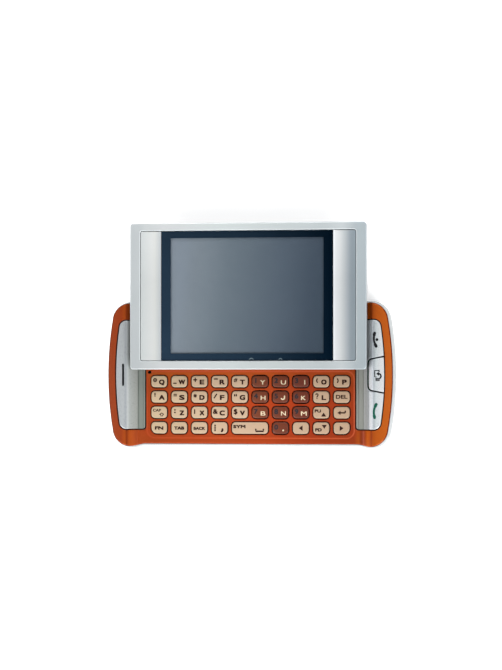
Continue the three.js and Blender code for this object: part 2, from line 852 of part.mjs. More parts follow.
function fixedRailPlate() {
  const riser = sliderHalfLength - railInset - railSidePlay - railSheet - railLip;
  const inner = riser - railSheet;
  const lip = riser + railLip;
  const low = deckTop - railRecess + seat;
  const half = [
    [riser, low],
    [riser, fixedLipBottom],
    [lip, fixedLipBottom],
    [lip, fixedLipTop],
    [inner, fixedLipTop],
    [inner, low + railSheet],
  ];
  const centre = travel / 2;
  const plate = runAlongY(mirroredSection(half), centre - railHalfGrip, centre + railHalfGrip);
  return plate.subtract(railCuts(inner, railHalfGrip, centre, low, fixedLipTop));
}

function movingRailPlate() {
  const outer = sliderHalfLength - railInset;
  const web = outer - railSheet;
  const lip = web - railLip;
  const half = [
    [outer, movingSheetTop],
    [outer, movingLipBottom],
    [lip, movingLipBottom],
    [lip, movingLipTop],
    [web, movingLipTop],
    [web, movingSheetBottom],
  ];
  const reach = railHalfPocket - seat;
  const plate = runAlongY(mirroredSection(half), -reach, reach);
  return plate.subtract(railCuts(lip, reach, 0, movingSheetBottom, movingSheetTop));
}

function mirroredSection(half) {
  const right = half.map(([x, z]) => new THREE.Vector2(x, z));
  const left = right.map(({ x, y }) => new THREE.Vector2(-x, y)).reverse();
  return [...right, ...left];
}

// The ribbon slot in the middle of a rail plate and the four holes near its corners.
function railCuts(halfLength, halfDepth, centreY, low, high) {
  const slot = evenRectangle(railSlotLength, railSlotDepth, railHole, roundSteps);
  const placed = slot.map(({ x, y }) => new THREE.Vector2(x, y + centreY));
  const holeX = halfLength - railHoleInset;
  const holeY = halfDepth - railHoleInset;
  const holes = [[1, 1], [1, -1], [-1, 1], [-1, -1]].map(([signX, signY]) => {
    return post(railHole, signX * holeX, centreY + signY * holeY, low - blend, high + blend, holeSteps);
  });
  return prism(placed, low - blend, high + blend).add(joined(holes));
}

// Sliding half, drawn about its own middle

function sliderOutline(inset) {
  const radius = Math.max(sliderCorner - inset, sliderCornerLeast);
  const length = 2 * (sliderHalfLength - inset);
  return evenRectangle(length, 2 * (sliderHalfDepth - inset), radius, roundSteps);
}

function sliderBackCover() {
  const edge = quarterRound(sliderUnderRound, sliderUnderRound, edgeSteps).map(({ inset, rise }) => {
    return { points: sliderOutline(inset), z: sliderBottom + rise };
  });
  const outside = stack([...edge, { points: sliderOutline(0), z: sliderSplit }]);
  const tongueX = sliderHalfLength - sliderWall - fasciaGap;
  const tongueY = sliderHalfDepth - sliderWall - fasciaGap;
  const tongue = block(-tongueX, tongueX, -tongueY, tongueY, sliderSplit - blend, coverTop);
  const pocketX = sliderHalfLength - railInset + railSidePlay;
  const pocket = block(-pocketX, pocketX, -railHalfPocket, railHalfPocket, 0, pocketRoof);
  return outside.add(tongue).subtract(pocket);
}

function sliderFrame() {
  const edge = quarterRound(sliderTopBevel, sliderTopBevelDrop, edgeSteps).map(({ inset, rise }) => {
    return { points: sliderOutline(inset), z: sliderTop - rise };
  });
  const outside = stack([{ points: sliderOutline(0), z: sliderSplit + seat }, ...edge.reverse()]);
  const cavityX = sliderHalfLength - sliderWall;
  const cavityY = sliderHalfDepth - sliderWall;
  const ledgeTop = fasciaBottom - seat;
  const cavityTop = ledgeTop - fasciaLedgeThickness;
  const cavity = block(-cavityX, cavityX, -cavityY, cavityY, 0, cavityTop);
  const well = prism(fasciaOutline(0), ledgeTop, sliderTop + overrun);
  const throat = prism(fasciaOutline(-fasciaLedge), cavityTop - blend, ledgeTop + blend);
  return outside.subtract(cavity).subtract(well).subtract(throat);
}

function fasciaOutline(grow) {
  const radius = Math.max(fasciaCorner + grow, sliderCornerLeast);
  const outline = evenRectangle(2 * (fasciaHalfLength + grow), fasciaDepth + 2 * grow, radius, roundSteps);
  return outline.map(({ x, y }) => new THREE.Vector2(x, y + fasciaY));
}

// The inset plate: a crowned strip at each side of the window and a thin frame under it.
function frontFascia() {
  const low = fasciaBottom;
  const plateTop = fasciaBottom + fasciaPlate;
  const windowLow = windowShift - windowHalfLength;
  const windowHigh = windowShift + windowHalfLength;
  const outer = fasciaHalfLength;
  const plate = block(-outer, outer, -sliderHalfDepth, sliderHalfDepth, low, plateTop);
  const sight = evenRectangle(displayLength + 2 * fit, displayDepth + 2 * fit, fit, roundSteps);
  const placed = sight.map(({ x, y }) => new THREE.Vector2(x + windowShift, y + fasciaY));
  const strips = [[-outer, windowLow - seat], [windowHigh + seat, outer]].map(([from, to]) => {
    return runAlongY(stripSection(from, to, low), -sliderHalfDepth, sliderHalfDepth);
  });
  return joined([plate, ...strips])
    .intersect(prism(fasciaOutline(-fasciaGap), low, sliderTop))
    .subtract(prism(placed, low - blend, plateTop + blend));
}

function stripSection(from, to, low) {
  const steps = 2 * crownSteps;
  const crown = Array.from({ length: steps + 1 }, (_, step) => {
    const share = step / steps;
    const rise = stripCrown * (1 - (2 * share - 1) ** 2);
    return new THREE.Vector2(to + (from - to) * share, sliderTop - stripCrown + rise);
  });
  return [new THREE.Vector2(from, low), new THREE.Vector2(to, low), ...crown];
}

function displayWindow() {
  const pane = (inset) => {
    const length = 2 * (windowHalfLength - inset);
    const depth = fasciaDepth - 2 * fasciaGap - 2 * inset;
    const outline = evenRectangle(length, depth, sliderCornerLeast, 1);
    return outline.map(({ x, y }) => new THREE.Vector2(x + windowShift, y + fasciaY));
  };
  return stack([
    { points: pane(0), z: windowBottom },
    { points: pane(0), z: windowTop - windowBevel },
    { points: pane(windowBevel), z: windowTop },
  ]);
}

function displayModule() {
  const outline = (grow) => {
    const length = displayLength + 2 * grow;
    const points = evenRectangle(length, displayDepth + 2 * grow, sliderCornerLeast, 1);
    return points.map(({ x, y }) => new THREE.Vector2(x + windowShift, y + fasciaY));
  };
  const tray = prism(outline(displayRim), displayBottom, displayBottom + displayTrayThickness);
  const cell = prism(outline(displayRim / 2), displayBottom, displayTop);
  return tray.add(cell);
}

// Assembly

function piece(name, finish, solid, x = 0, y = 0, z = 0) {
  const mesh = new THREE.Mesh(geometryOf(solid), new THREE.MeshStandardMaterial(finishes[finish]));
  mesh.name = name;
  mesh.position.set(x, y, z);
  return mesh;
}

const lowerHalf = new THREE.Group();
lowerHalf.add(
  piece('rear_cover', 'silver', rearCover()),
  piece('battery_door', 'silver', batteryDoor()),
  piece('battery', 'graphite', battery()),
  piece('main_board', 'board', mainBoard()),
  piece('keypad_sheet', 'rubber', keypadSheet()),
  piece('front_housing', 'orange', frontHousing()),
  piece('left_end_plate', 'silver', leftEndPlate()),
  piece('right_end_strip', 'silver', rightEndStrip()),
  piece('earpiece', 'graphite', earpiece()),
  piece('camera_module', 'graphite', cameraModule(), cameraX, cameraY),
  piece('fixed_rail_plate', 'steel', fixedRailPlate()),
  piece('end_key', 'silver', outerKey(1)),
  piece('shortcut_key', 'silver', shortcutKey()),
  piece('call_key', 'silver', outerKey(-1)),
);
const rockerY = baseHalfWaist + rockerProud - rockerDepth / 2;
lowerHalf.add(piece('volume_rocker', 'silver', volumeRocker(), rockerX, rockerY, rockerHeight));
keys.forEach((key) => {
  const finish = brownKeys.includes(key.name) ? 'brown' : 'beige';
  lowerHalf.add(piece(`key_${key.name}`, finish, keySolid(key), key.x, key.y, panelTop));
});

const slidingHalf = new THREE.Group();
slidingHalf.position.y = travel;
slidingHalf.add(
  piece('slider_back_cover', 'graphite', sliderBackCover()),
  piece('moving_rail_plate', 'steel', movingRailPlate()),
  piece('display_module', 'screen', displayModule()),
  piece('slider_frame', 'silver', sliderFrame()),
  piece('front_fascia', 'silver', frontFascia()),
  piece('display_window', 'glass', displayWindow()),
);

const phone = new THREE.Group();
phone.add(lowerHalf, slidingHalf);

export default phone;
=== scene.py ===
import math

import bmesh
import bpy
from mathutils import Matrix, Vector


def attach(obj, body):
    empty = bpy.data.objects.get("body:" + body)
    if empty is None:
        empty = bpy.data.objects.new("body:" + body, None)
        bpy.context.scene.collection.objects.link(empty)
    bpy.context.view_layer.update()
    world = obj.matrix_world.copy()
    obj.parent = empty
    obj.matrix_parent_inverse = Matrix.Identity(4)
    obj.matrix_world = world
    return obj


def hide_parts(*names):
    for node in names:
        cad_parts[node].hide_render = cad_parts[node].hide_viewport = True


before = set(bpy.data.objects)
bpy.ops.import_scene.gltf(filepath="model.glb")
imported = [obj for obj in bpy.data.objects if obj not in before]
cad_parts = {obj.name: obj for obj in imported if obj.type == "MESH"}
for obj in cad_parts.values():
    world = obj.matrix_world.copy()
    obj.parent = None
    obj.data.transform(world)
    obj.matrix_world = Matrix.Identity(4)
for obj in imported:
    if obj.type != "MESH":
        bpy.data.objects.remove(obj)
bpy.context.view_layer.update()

# Shapes are drawn in millimetres about the frame's own origin and turned into metres when they are dressed.
# Length is measured along X, depth along Y and height along Z, as in the CAD.

MM = 0.001

# Sizes of the lower half
DECK_TOP = 10.3
DECK_HALF = 39.2
DECK_THICKNESS = 1.2
PANEL_HALF = 38.6
PANEL_TOP = 10.15
PANEL_DEPTH = 24.9
PANEL_Y = 1.4 - PANEL_DEPTH / 2
PANEL_CORNER = 3
BASE_HALF = 53.5
BASE_HALF_WAIST = 26.35
WAIST_STEP = 0.85
BASE_HALF_DEPTH = BASE_HALF_WAIST + WAIST_STEP
CORNER_RADIUS = 7.4
END_RADIUS = 123
RAMP = (41.8, 45.45)
RAMP_ROUND = 0.1
END_RISE = 3.2
CROWN_DROP = 1.1
END_THICKENING = 0.7
THICKENING = (37.2, 38.2)
FRONT_EDGE = 0.9
FRONT_INSET = 0.8
FRONT_ROLL = 0.5
SEAM = 0.12
WALL = 1.9
FLOOR = 1.6
BACK_ROUND = 3.2
BACK_INSET = 2.6
WAISTLINE = 6.6
RIM_INSET = 0.7
RECESS_HALF = 36.05
RECESS_Y = (4.175, 24.575)
RECESS_DEPTH = 0.7
MICROPHONE = (-37.5, 1.0)
MICROPHONE_RADIUS = 0.65

# The orange front's edge, darkened as painted shade: how far out it lies, and how much its faces look up
EDGE_X = 46
EDGE_Y = 24.8
EDGE_TILT = (-0.5, 0.85)

# Sizes of the silver ends
PLATE_REACH = 49.6
PLATE_HALF_DEPTH = 20
PLATE_CORNER = 2.6
PLATE_INNER_CORNER = 1.1
PLATE_THICKNESS = 1
PLATE_GAP = 0.4
PLATE_LEDGE = 0.8
POCKET_BEVEL = 0.16
WALL_TOP_DROP = 0.29
# Past this, the walls of the pockets' gaps are painted black as shade
BLACK_GAP_X = 43.2
CHANNEL = (39.9, 42.0)
CHANNEL_FLOOR = 9.85
CHANNEL_FOOT = 42.25
SLIT_X = -46.9
SLIT = (0.55, 8)
SLIT_FLARE = 0.12
END_KEY_INNER = 43.9
END_KEY_THICKNESS = 0.7
PLATE_EDGE = (0.36, 0.27)
VISIBLE_SEAM = 0.05
SHORTCUT_GAP = 0.55
SHORTCUT_HALF = (5.6, 6.4)
SHORTCUT_CORNER = 1.5
STEM_X = (45.4, 47.6)
STEM_HALF = 2
STEM_TOP = 13.0

# Sizes of the back and of what shows at the sides. Bay and door: length, depth and corner radius
BAY = (46.6, 34.6, 1.2)
DOOR = (53, 41, 3.1)
DOOR_CLEARANCE = 0.1
DOOR_EDGE = 0.3
GRIP_X = 22.6
GRIP_PITCH = 1.8
GRIP_COUNT = 3
CAMERA = (39, 9.5)
LENS_RADIUS = 1.9
VENT = (39, -4.5)
VENT_PITCH = 2
VENT_COUNT = 4
SOCKET_X = 26
SOCKET_HALF = 4.1
SOCKET_HEIGHTS = (3.7, 6.6)
SOCKET_DEPTH = 2.1
ROCKER_X = -22
ROCKER_Y = 25.85
ROCKER_LENGTH = 13.5
ROCKER_DEPTH = 1.9
ROCKER_ROUND = 0.5
ROCKER_PLAY = 0.3
ROCKER_MIDDLE = 5
ROCKER_HALF_HEIGHT = 1.2

# Sizes of the keyboard
COLUMN_PITCH = 7.53
ROW_PITCH = 5.71
ROW_TOP_Y = 0.37
KEY_LENGTH = 5.85
KEY_DEPTH = 4.3
KEY_CORNER = 1.35
KEY_OUTER_CORNER = 2.1
KEY_SKIRT = 0.6
KEY_GAP = 0.35
KEY_BOTTOM = 8.6
KEY_SKIRT_TOP = 9.0

# Sizes of the sliding half
TRAVEL = 28.75
SLIDER_HALF = 43.45
SLIDER_HALF_DEPTH = 26.85
SLIDER_BOTTOM = 11.1
SLIDER_SPLIT = 13.0
SLIDER_TOP = 18.0
SLIDER_CORNER = 1.2
SLIDER_WALL = 1.35
FRAME_EDGE = (0.5, 0.38)
FRAME_ROOF = 16.0
COVER_ROUND = 1.7
FASCIA_HALF = 39.75
FASCIA_DEPTH = 47.8
FASCIA_Y = TRAVEL + 0.15
FASCIA_CORNER = 0.9
FASCIA_GAP = 0.15
FASCIA_BOTTOM = 16.7
FASCIA_SHOULDER = 17.5
FASCIA_FLARE = 0.22
PLATE_TOP = 17.05
WINDOW_HALF = 31.6
WINDOW_SHIFT = -0.3
WINDOW_BOTTOM = 17.15
WINDOW_TOP = 17.95
DISPLAY = (56.3, 42.3)
DISPLAY_BOTTOM = 13.9
DISPLAY_TOP = 16.6
RAIL_POCKET = (38.8, 24.675)
POCKET_ROOF = 13.1
COVER_TOP = 13.8

# Smoothness
CORNER_STEPS = 28
END_STEPS = 8
RAMP_STEPS = 22
ROUND_STEPS = 8

# How far a cutter reaches past a surface, a height inside the housing, and one above the lower half
OVERRUN = 2
INSIDE = 6
ABOVE = 20

# Play when faces are told apart
HAIR = 0.02

# Height of each print above the one before, and its thickness
INK_STEP = 0.003
INK_DEPTH = 0.04


# Outlines

def arc(x, y, radius, start, end, steps):
    turn = (end - start) / steps
    angles = [start + turn * step for step in range(steps + 1)]
    return [(x + radius * math.cos(angle), y + radius * math.sin(angle)) for angle in angles]


def circle(x, y, radius, steps):
    return arc(x, y, radius, 0, math.tau, steps)[:-1]


def rounded(length, depth, radii, steps=ROUND_STEPS, x=0.0, y=0.0):
    """A rectangle with its four corners rounded, counterclockwise from the lower left one."""
    points = []
    for corner, (sign_x, sign_y) in enumerate([(-1, -1), (1, -1), (1, 1), (-1, 1)]):
        radius = radii[corner] if isinstance(radii, (list, tuple)) else radii
        start = math.pi * (1 + corner / 2)
        middle_x = x + sign_x * (length / 2 - radius)
        middle_y = y + sign_y * (depth / 2 - radius)
        points += arc(middle_x, middle_y, radius, start, start + math.pi / 2, steps)
    return points


def smooth(share):
    t = min(max(share, 0), 1)
    return t * t * (3 - 2 * t)


def between(low, high, steps):
    return [low + (high - low) * step / steps for step in range(steps + 1)]


def bulging_end(reach, half_depth, corner, inset):
    """From the top of a corner to the middle of the bulging end."""
    corner_y = half_depth - corner
    bulge_x = reach - END_RADIUS
    corner_x = bulge_x + math.sqrt((END_RADIUS - corner) ** 2 - corner_y**2)
    meet = math.atan2(corner_y, corner_x - bulge_x)
    turn = arc(corner_x, corner_y, corner - inset, math.pi / 2, meet, CORNER_STEPS)
    end = arc(bulge_x, 0, END_RADIUS - inset, meet, 0, END_STEPS)
    return turn + end[1:]


def base_half(inset):
    """The upper half of the lower half's outline, from the left end to the right end."""
    end = bulging_end(BASE_HALF, BASE_HALF_DEPTH, CORNER_RADIUS, inset)
    waist = BASE_HALF_WAIST - inset
    right = [(x, waist) for x in THICKENING]
    for share in between(0, 1, RAMP_STEPS)[:-1]:
        right.append((DECK_HALF + (end[0][0] - DECK_HALF) * share, waist + WAIST_STEP * smooth(share)))
    right += end
    return [(-x, y) for x, y in reversed(right)] + right


def end_half(inner, inner_corner, inset):
    """The upper half of a silver end's outline on the right, from its inner edge to its tip."""
    half_depth = PLATE_HALF_DEPTH - inset
    start = inner + inner_corner
    corner = arc(start, half_depth - inner_corner, inner_corner, math.pi, math.pi / 2, ROUND_STEPS)
    end = bulging_end(PLATE_REACH, PLATE_HALF_DEPTH, PLATE_CORNER, inset)
    straight = between(start, end[0][0], RAMP_STEPS)[1:-1]
    return corner + [(x, half_depth) for x in straight] + end


def shortcut_outline(grow):
    """The middle key of the right end, wider at its outer side."""
    outer = PLATE_REACH + OVERRUN
    corner = SHORTCUT_CORNER + grow
    widening = (SHORTCUT_HALF[1] - SHORTCUT_HALF[0]) / (PLATE_REACH - END_KEY_INNER - SHORTCUT_CORNER)
    half_outer = SHORTCUT_HALF[1] + OVERRUN * widening + grow
    half_inner = SHORTCUT_HALF[0] + grow
    turn = arc(END_KEY_INNER - grow + corner, half_inner - corner, corner, math.pi / 2, math.pi, ROUND_STEPS)
    upper = []
    for share in between(0, 1, RAMP_STEPS)[:-1]:
        upper.append((outer + (turn[0][0] - outer) * share, half_outer + (turn[0][1] - half_outer) * share))
    upper += turn
    return upper + [(x, -y) for x, y in reversed(upper)]


def quarter_round(inset, rise, steps):
    """A rounded edge, from the face that it starts at to the wall that it ends in."""
    angles = between(0, math.pi / 2, steps)
    return [(inset * (1 - math.sin(angle)), rise * (1 - math.cos(angle))) for angle in angles]


# Surface heights of the lower half along X

def slope(share):
    """A straight rise with a short round at its foot and at its crest."""
    t = min(max(share, 0), 1)
    steep = 1 / (1 - RAMP_ROUND)
    if t < RAMP_ROUND:
        return steep * t * t / (2 * RAMP_ROUND)
    if t > 1 - RAMP_ROUND:
        return 1 - steep * (1 - t) ** 2 / (2 * RAMP_ROUND)
    return steep * (t - RAMP_ROUND / 2)


def top_at(x):
    foot, crest = RAMP
    rise = slope((abs(x) - foot) / (crest - foot))
    past = max((abs(x) - crest) / (BASE_HALF - crest), 0)
    return DECK_TOP + END_RISE * rise - CROWN_DROP * past * past


def below(drop):
    return lambda x: top_at(x) - drop


def underside_at(x):
    share = (abs(x) - THICKENING[0]) / (THICKENING[1] - THICKENING[0])
    return top_at(x) - DECK_THICKNESS - END_THICKENING * smooth(share)


def height(level, x):
    return level(x) if callable(level) else level


# Shapes: lists of corners and faces, in millimetres

def rings(outline_at, profile):
    """One outline for each pair of a profile: worked out for the first value, and lying at the second."""
    return [(outline_at(size), level) for size, level in profile]


def stack(levels):
    """A solid through closed outlines of equal point counts."""
    count = len(levels[0][0])
    corners = [(x, y, height(level, x)) for outline, level in levels for x, y in outline]
    faces = []
    for start in range(0, count * (len(levels) - 1), count):
        for k in range(count):
            a, b = start + k, start + (k + 1) % count
            faces.append((a, b, b + count, a + count))
    last = count * (len(levels) - 1)
    faces.append(tuple(reversed(range(count))))
    faces.append(tuple(range(last, last + count)))
    return corners, faces


def surface(levels):
    """A solid through outlines that are mirrored about the X axis, each given by its upper half."""
    count = len(levels[0][0])
    corners = []
    for outline, level in levels:
        for x, y in outline:
            corners += [(x, y, height(level, x)), (x, -y, height(level, x))]
    top = len(levels) - 1

    def upper(level, i):
        return 2 * (level * count + i)

    def lower(level, i):
        return upper(level, i) + 1

    faces = []
    for i in range(count - 1):
        faces.append((upper(top, i), lower(top, i), lower(top, i + 1), upper(top, i + 1)))
        faces.append((upper(0, i), upper(0, i + 1), lower(0, i + 1), lower(0, i)))
        for level in range(top):
            faces.append((upper(level, i), upper(level + 1, i), upper(level + 1, i + 1), upper(level, i + 1)))
            faces.append((lower(level, i), lower(level, i + 1), lower(level + 1, i + 1), lower(level + 1, i)))
    end = count - 1
    for level in range(top):
        faces.append((upper(level, 0), lower(level, 0), lower(level + 1, 0), upper(level + 1, 0)))
        faces.append((upper(level, end), upper(level + 1, end), lower(level + 1, end), lower(level, end)))
    return corners, faces


def block(x_low, x_high, y_low, y_high, z_low, z_high):
    outline = [(x_low, y_low), (x_high, y_low), (x_high, y_high), (x_low, y_high)]
    return stack([(outline, z_low), (outline, z_high)])


def along_y(section, y_low, y_high):
    """A section in X and Z, drawn out along Y."""
    count = len(section)
    corners = [(x, y, z) for y in (y_low, y_high) for x, z in section]
    faces = [(k, (k + 1) % count, (k + 1) % count + count, k + count) for k in range(count)]
    faces += [tuple(reversed(range(count))), tuple(range(count, 2 * count))]
    return corners, faces


def turned(profile, x, y, steps):
    """A profile of radius and height, turned about an upright line."""
    return stack(rings(lambda radius: circle(x, y, max(radius, 0.01), steps), profile))


def flared(outline_at, low, edge, flare):
    """A cutter that widens by flare as it leaves the surface edge."""
    def level(drop):
        return below(drop) if edge is top_at else edge - drop

    return stack(rings(outline_at, [(0, low), (0, level(flare)), (flare, edge), (flare, level(-OVERRUN))]))


def slot_below(x, y, mouth, throat, heights):
    """A cutter for a slot in an underside. Mouth and throat are lengths, depths and corners."""
    wide = rounded(*mouth, x=x, y=y)
    narrow = rounded(*throat, x=x, y=y)
    return stack([(wide, -OVERRUN), (wide, 0), *[(narrow, high) for high in heights]])


def mirrored(shape):
    corners, faces = shape
    return [(-x, y, z) for x, y, z in corners], faces


def moved(shape, x=0.0, y=0.0, z=0.0):
    corners, faces = shape
    return [(corner[0] + x, corner[1] + y, corner[2] + z) for corner in corners], faces


def joined(shapes):
    corners, faces = [], []
    for more_corners, more_faces in shapes:
        start = len(corners)
        corners += more_corners
        faces += [tuple(start + at for at in face) for face in more_faces]
    return corners, faces


def clean(mesh):
    tidy = bmesh.new()
    tidy.from_mesh(mesh)
    bmesh.ops.remove_doubles(tidy, verts=tidy.verts, dist=1e-4)
    bmesh.ops.dissolve_degenerate(tidy, edges=tidy.edges, dist=1e-5)
    bmesh.ops.recalc_face_normals(tidy, faces=tidy.faces)
    tidy.to_mesh(mesh)
    tidy.free()


def solid(shape, name="solid"):
    mesh = bpy.data.meshes.new(name)
    corners, faces = shape
    mesh.from_pydata(corners, [], faces)
    clean(mesh)
    made = bpy.data.objects.new(name, mesh)
    bpy.context.scene.collection.objects.link(made)
    return made


def worked(target, steps):
    """Applies boolean steps, each an operation and a shape, and returns the object with its new mesh."""
    tools = []
    for operation, shape in steps:
        tool = solid(shape, "tool")
        modifier = target.modifiers.new("work", "BOOLEAN")
        modifier.operation = operation
        modifier.solver = "MANIFOLD"
        modifier.object = tool
        tools.append(tool)
    seen = target.evaluated_get(bpy.context.evaluated_depsgraph_get())
    mesh = bpy.data.meshes.new_from_object(seen)
    if not mesh.polygons:
        raise ValueError(f"{target.name} was lost in its cuts")
    target.modifiers.clear()
    target.data = mesh
    for tool in tools:
        bpy.data.objects.remove(tool)
    return target


def cuts(*shapes):
    return [("DIFFERENCE", shape) for shape in shapes]


# Materials

def feed(tree, node, inputs):
    """Fills a node's inputs: the output of another node is linked, and anything else is a value."""
    for name, value in inputs.items():
        if isinstance(value, bpy.types.NodeSocket):
            tree.links.new(value, node.inputs[name])
        else:
            node.inputs[name].default_value = value


def add(tree, kind, inputs=None, **settings):
    node = tree.nodes.new(kind)
    for name, value in settings.items():
        setattr(node, name, value)
    feed(tree, node, inputs or {})
    return node


def ramp(tree, source, stops):
    """A colour ramp fed by an output. Each stop is a place with a colour or with a grey."""
    node = add(tree, "ShaderNodeValToRGB", {"Fac": source})
    elements = node.color_ramp.elements
    while len(elements) < len(stops):
        elements.new(0.5)
    for element, (place, colour) in zip(elements, stops):
        element.position = place
        element.color = (*colour, 1) if isinstance(colour, tuple) else (colour, colour, colour, 1)
    return node.outputs["Color"]


def ranged(tree, source, low, high, to_low, to_high):
    inputs = {"Value": source, "From Min": low, "From Max": high, "To Min": to_low, "To Max": to_high}
    return add(tree, "ShaderNodeMapRange", inputs).outputs["Result"]


def noise(tree, place, scale, detail=2.0, roughness=0.5):
    inputs = {"Vector": place, "Scale": scale, "Detail": detail, "Roughness": roughness}
    return add(tree, "ShaderNodeTexNoise", inputs).outputs["Fac"]


def multiplied(tree, first, second, factor=1.0):
    inputs = {"Factor": factor, 6: first, 7: second}
    return add(tree, "ShaderNodeMix", inputs, data_type="RGBA", blend_type="MULTIPLY").outputs[2]


def sum_of(tree, first, first_share, second, second_share):
    scaled = add(tree, "ShaderNodeMath", {0: second, 1: second_share}, operation="MULTIPLY").outputs[0]
    inputs = {0: first, 1: first_share, 2: scaled}
    return add(tree, "ShaderNodeMath", inputs, operation="MULTIPLY_ADD").outputs[0]


def bumped(tree, source, strength, depth):
    inputs = {"Strength": strength, "Distance": depth * MM, "Height": source}
    return add(tree, "ShaderNodeBump", inputs).outputs["Normal"]


def along(tree, place, axis, low, high):
    parts = add(tree, "ShaderNodeSeparateXYZ", {"Vector": place})
    return ranged(tree, parts.outputs[axis], low * MM, high * MM, 0, 1)


# Every material, by the name that it is asked for with
looks = {}


def starting(name):
    material = bpy.data.materials.new(name)
    material.use_nodes = True
    looks[name] = material
    tree = material.node_tree
    place = add(tree, "ShaderNodeTexCoord").outputs["Object"]
    return tree, tree.nodes["Principled BSDF"], place


def finish(name, stops, spread=0.06, span=(-BASE_HALF, BASE_HALF), fall=None, metallic=0.0, rough=(0.3, 0.4),
           coat=0.0, coat_rough=0.1, specular=0.5, mottle=90, grain=2600, depth=0.006, stretch=None):
    """A surface whose colour runs along X over its span, mottled, with a fine grain in its gloss and relief.

    Its fall, if any, holds the places along Y where it starts and ends and its brightness at both.
    """
    tree, shader, place = starting(name)
    if isinstance(stops, tuple):
        stops = [(0.0, stops), (1.0, stops)]
    base = ramp(tree, along(tree, place, "X", *span), stops)
    if fall:
        low, high, at_low, at_high = fall
        dimmed = ramp(tree, along(tree, place, "Y", low, high), [(0.0, at_low), (1.0, at_high)])
        base = multiplied(tree, base, dimmed)
    clouded = ramp(tree, noise(tree, place, mottle, 3, 0.6), [(0.3, 1 - spread), (0.7, 1)])
    if stretch:
        place = add(tree, "ShaderNodeMapping", {"Vector": place, "Scale": stretch}).outputs["Vector"]
    fine = noise(tree, place, grain, 2, 0.6)
    speckled = ramp(tree, fine, [(0.35, 1 - spread), (0.65, 1)])
    feed(tree, shader, {
        "Base Color": multiplied(tree, multiplied(tree, base, clouded), speckled),
        "Roughness": ranged(tree, fine, 0.3, 0.7, *rough),
        "Normal": bumped(tree, fine, 0.35, depth),
        "Metallic": metallic,
        "Coat Weight": coat,
        "Coat Roughness": coat_rough,
        "Specular IOR Level": specular,
    })


# Colours, each with its place from 0 to 1, from the left to the right of what they cover
# Painted light and shade on the orange: the left end darker than the right, the deck brighter in its middle,
# and dark and bright lines on both ramps, with stops about 0.4 to 1 mm apart
PEARL_PAINTED_LIGHT_STOPS = [
    (0.0, (0.2, 0.03, 0.0025)), (0.055, (0.235, 0.031, 0.003)), (0.068, (0.31, 0.051, 0.003)),
    (0.0745, (0.17, 0.022, 0.003)), (0.082, (0.33, 0.055, 0.0035)), (0.092, (0.35, 0.06, 0.008)),
    (0.102, (0.3, 0.047, 0.007)), (0.15, (0.29, 0.038, 0.0055)), (0.3, (0.345, 0.043, 0.0075)),
    (0.42, (0.375, 0.047, 0.009)), (0.56, (0.36, 0.042, 0.0075)), (0.7, (0.3, 0.031, 0.0055)),
    (0.86, (0.25, 0.029, 0.0045)), (0.874, (0.32, 0.055, 0.0045)), (0.8845, (0.17, 0.02, 0.003)),
    (0.8925, (0.3, 0.062, 0.03)), (0.896, (0.25, 0.035, 0.004)), (0.906, (0.42, 0.082, 0.005)),
    (0.914, (0.37, 0.066, 0.004)), (0.92, (0.2, 0.028, 0.003)), (0.9265, (0.33, 0.06, 0.004)),
    (0.94, (0.375, 0.074, 0.0045)), (1.0, (0.375, 0.079, 0.0045)),
]
# Painted reflection on the unlit display: light at its upper left, dark at its lower right
DISPLAY_REFLECTION_STOPS = [
    (0.0, (0.146, 0.17, 0.197)), (0.1, (0.143, 0.167, 0.192)), (0.17, (0.131, 0.153, 0.173)),
    (0.24, (0.12, 0.143, 0.163)), (0.36, (0.095, 0.117, 0.136)), (0.54, (0.073, 0.092, 0.112)),
    (0.7, (0.056, 0.073, 0.094)), (0.86, (0.039, 0.053, 0.072)), (1.0, (0.03, 0.044, 0.06)),
]
# Painted light and shade on the slider's frame: lighter at its left and middle, darker at its right end
FRAME_PAINTED_LIGHT_STOPS = [
    (0.0, (0.39, 0.415, 0.425)), (0.035, (0.395, 0.42, 0.43)), (0.06, (0.43, 0.455, 0.46)),
    (0.14, (0.48, 0.495, 0.5)), (0.4, (0.47, 0.508, 0.507)), (0.6, (0.435, 0.47, 0.473)),
    (0.82, (0.392, 0.427, 0.437)), (0.9, (0.43, 0.462, 0.472)), (0.955, (0.33, 0.37, 0.39)),
    (1.0, (0.317, 0.363, 0.386)),
]
# Painted light and shade on the strips beside the window: a highlight along the left strip, a bright line at
# the right strip's inner edge, and a fall from light to dark across the right strip
STRIP_PAINTED_LIGHT_STOPS = [
    (0.05, (0.41, 0.433, 0.432)), (0.093, (0.48, 0.492, 0.487)), (0.107, (0.475, 0.485, 0.47)),
    (0.127, (0.375, 0.397, 0.41)), (0.5, (0.4, 0.43, 0.42)), (0.865, (0.64, 0.66, 0.68)),
    (0.869, (0.51, 0.52, 0.53)), (0.873, (0.51, 0.52, 0.53)), (0.892, (0.44, 0.455, 0.46)),
    (0.934, (0.192, 0.224, 0.248)), (0.954, (0.176, 0.208, 0.23)), (0.959, (0.3, 0.34, 0.345)),
]
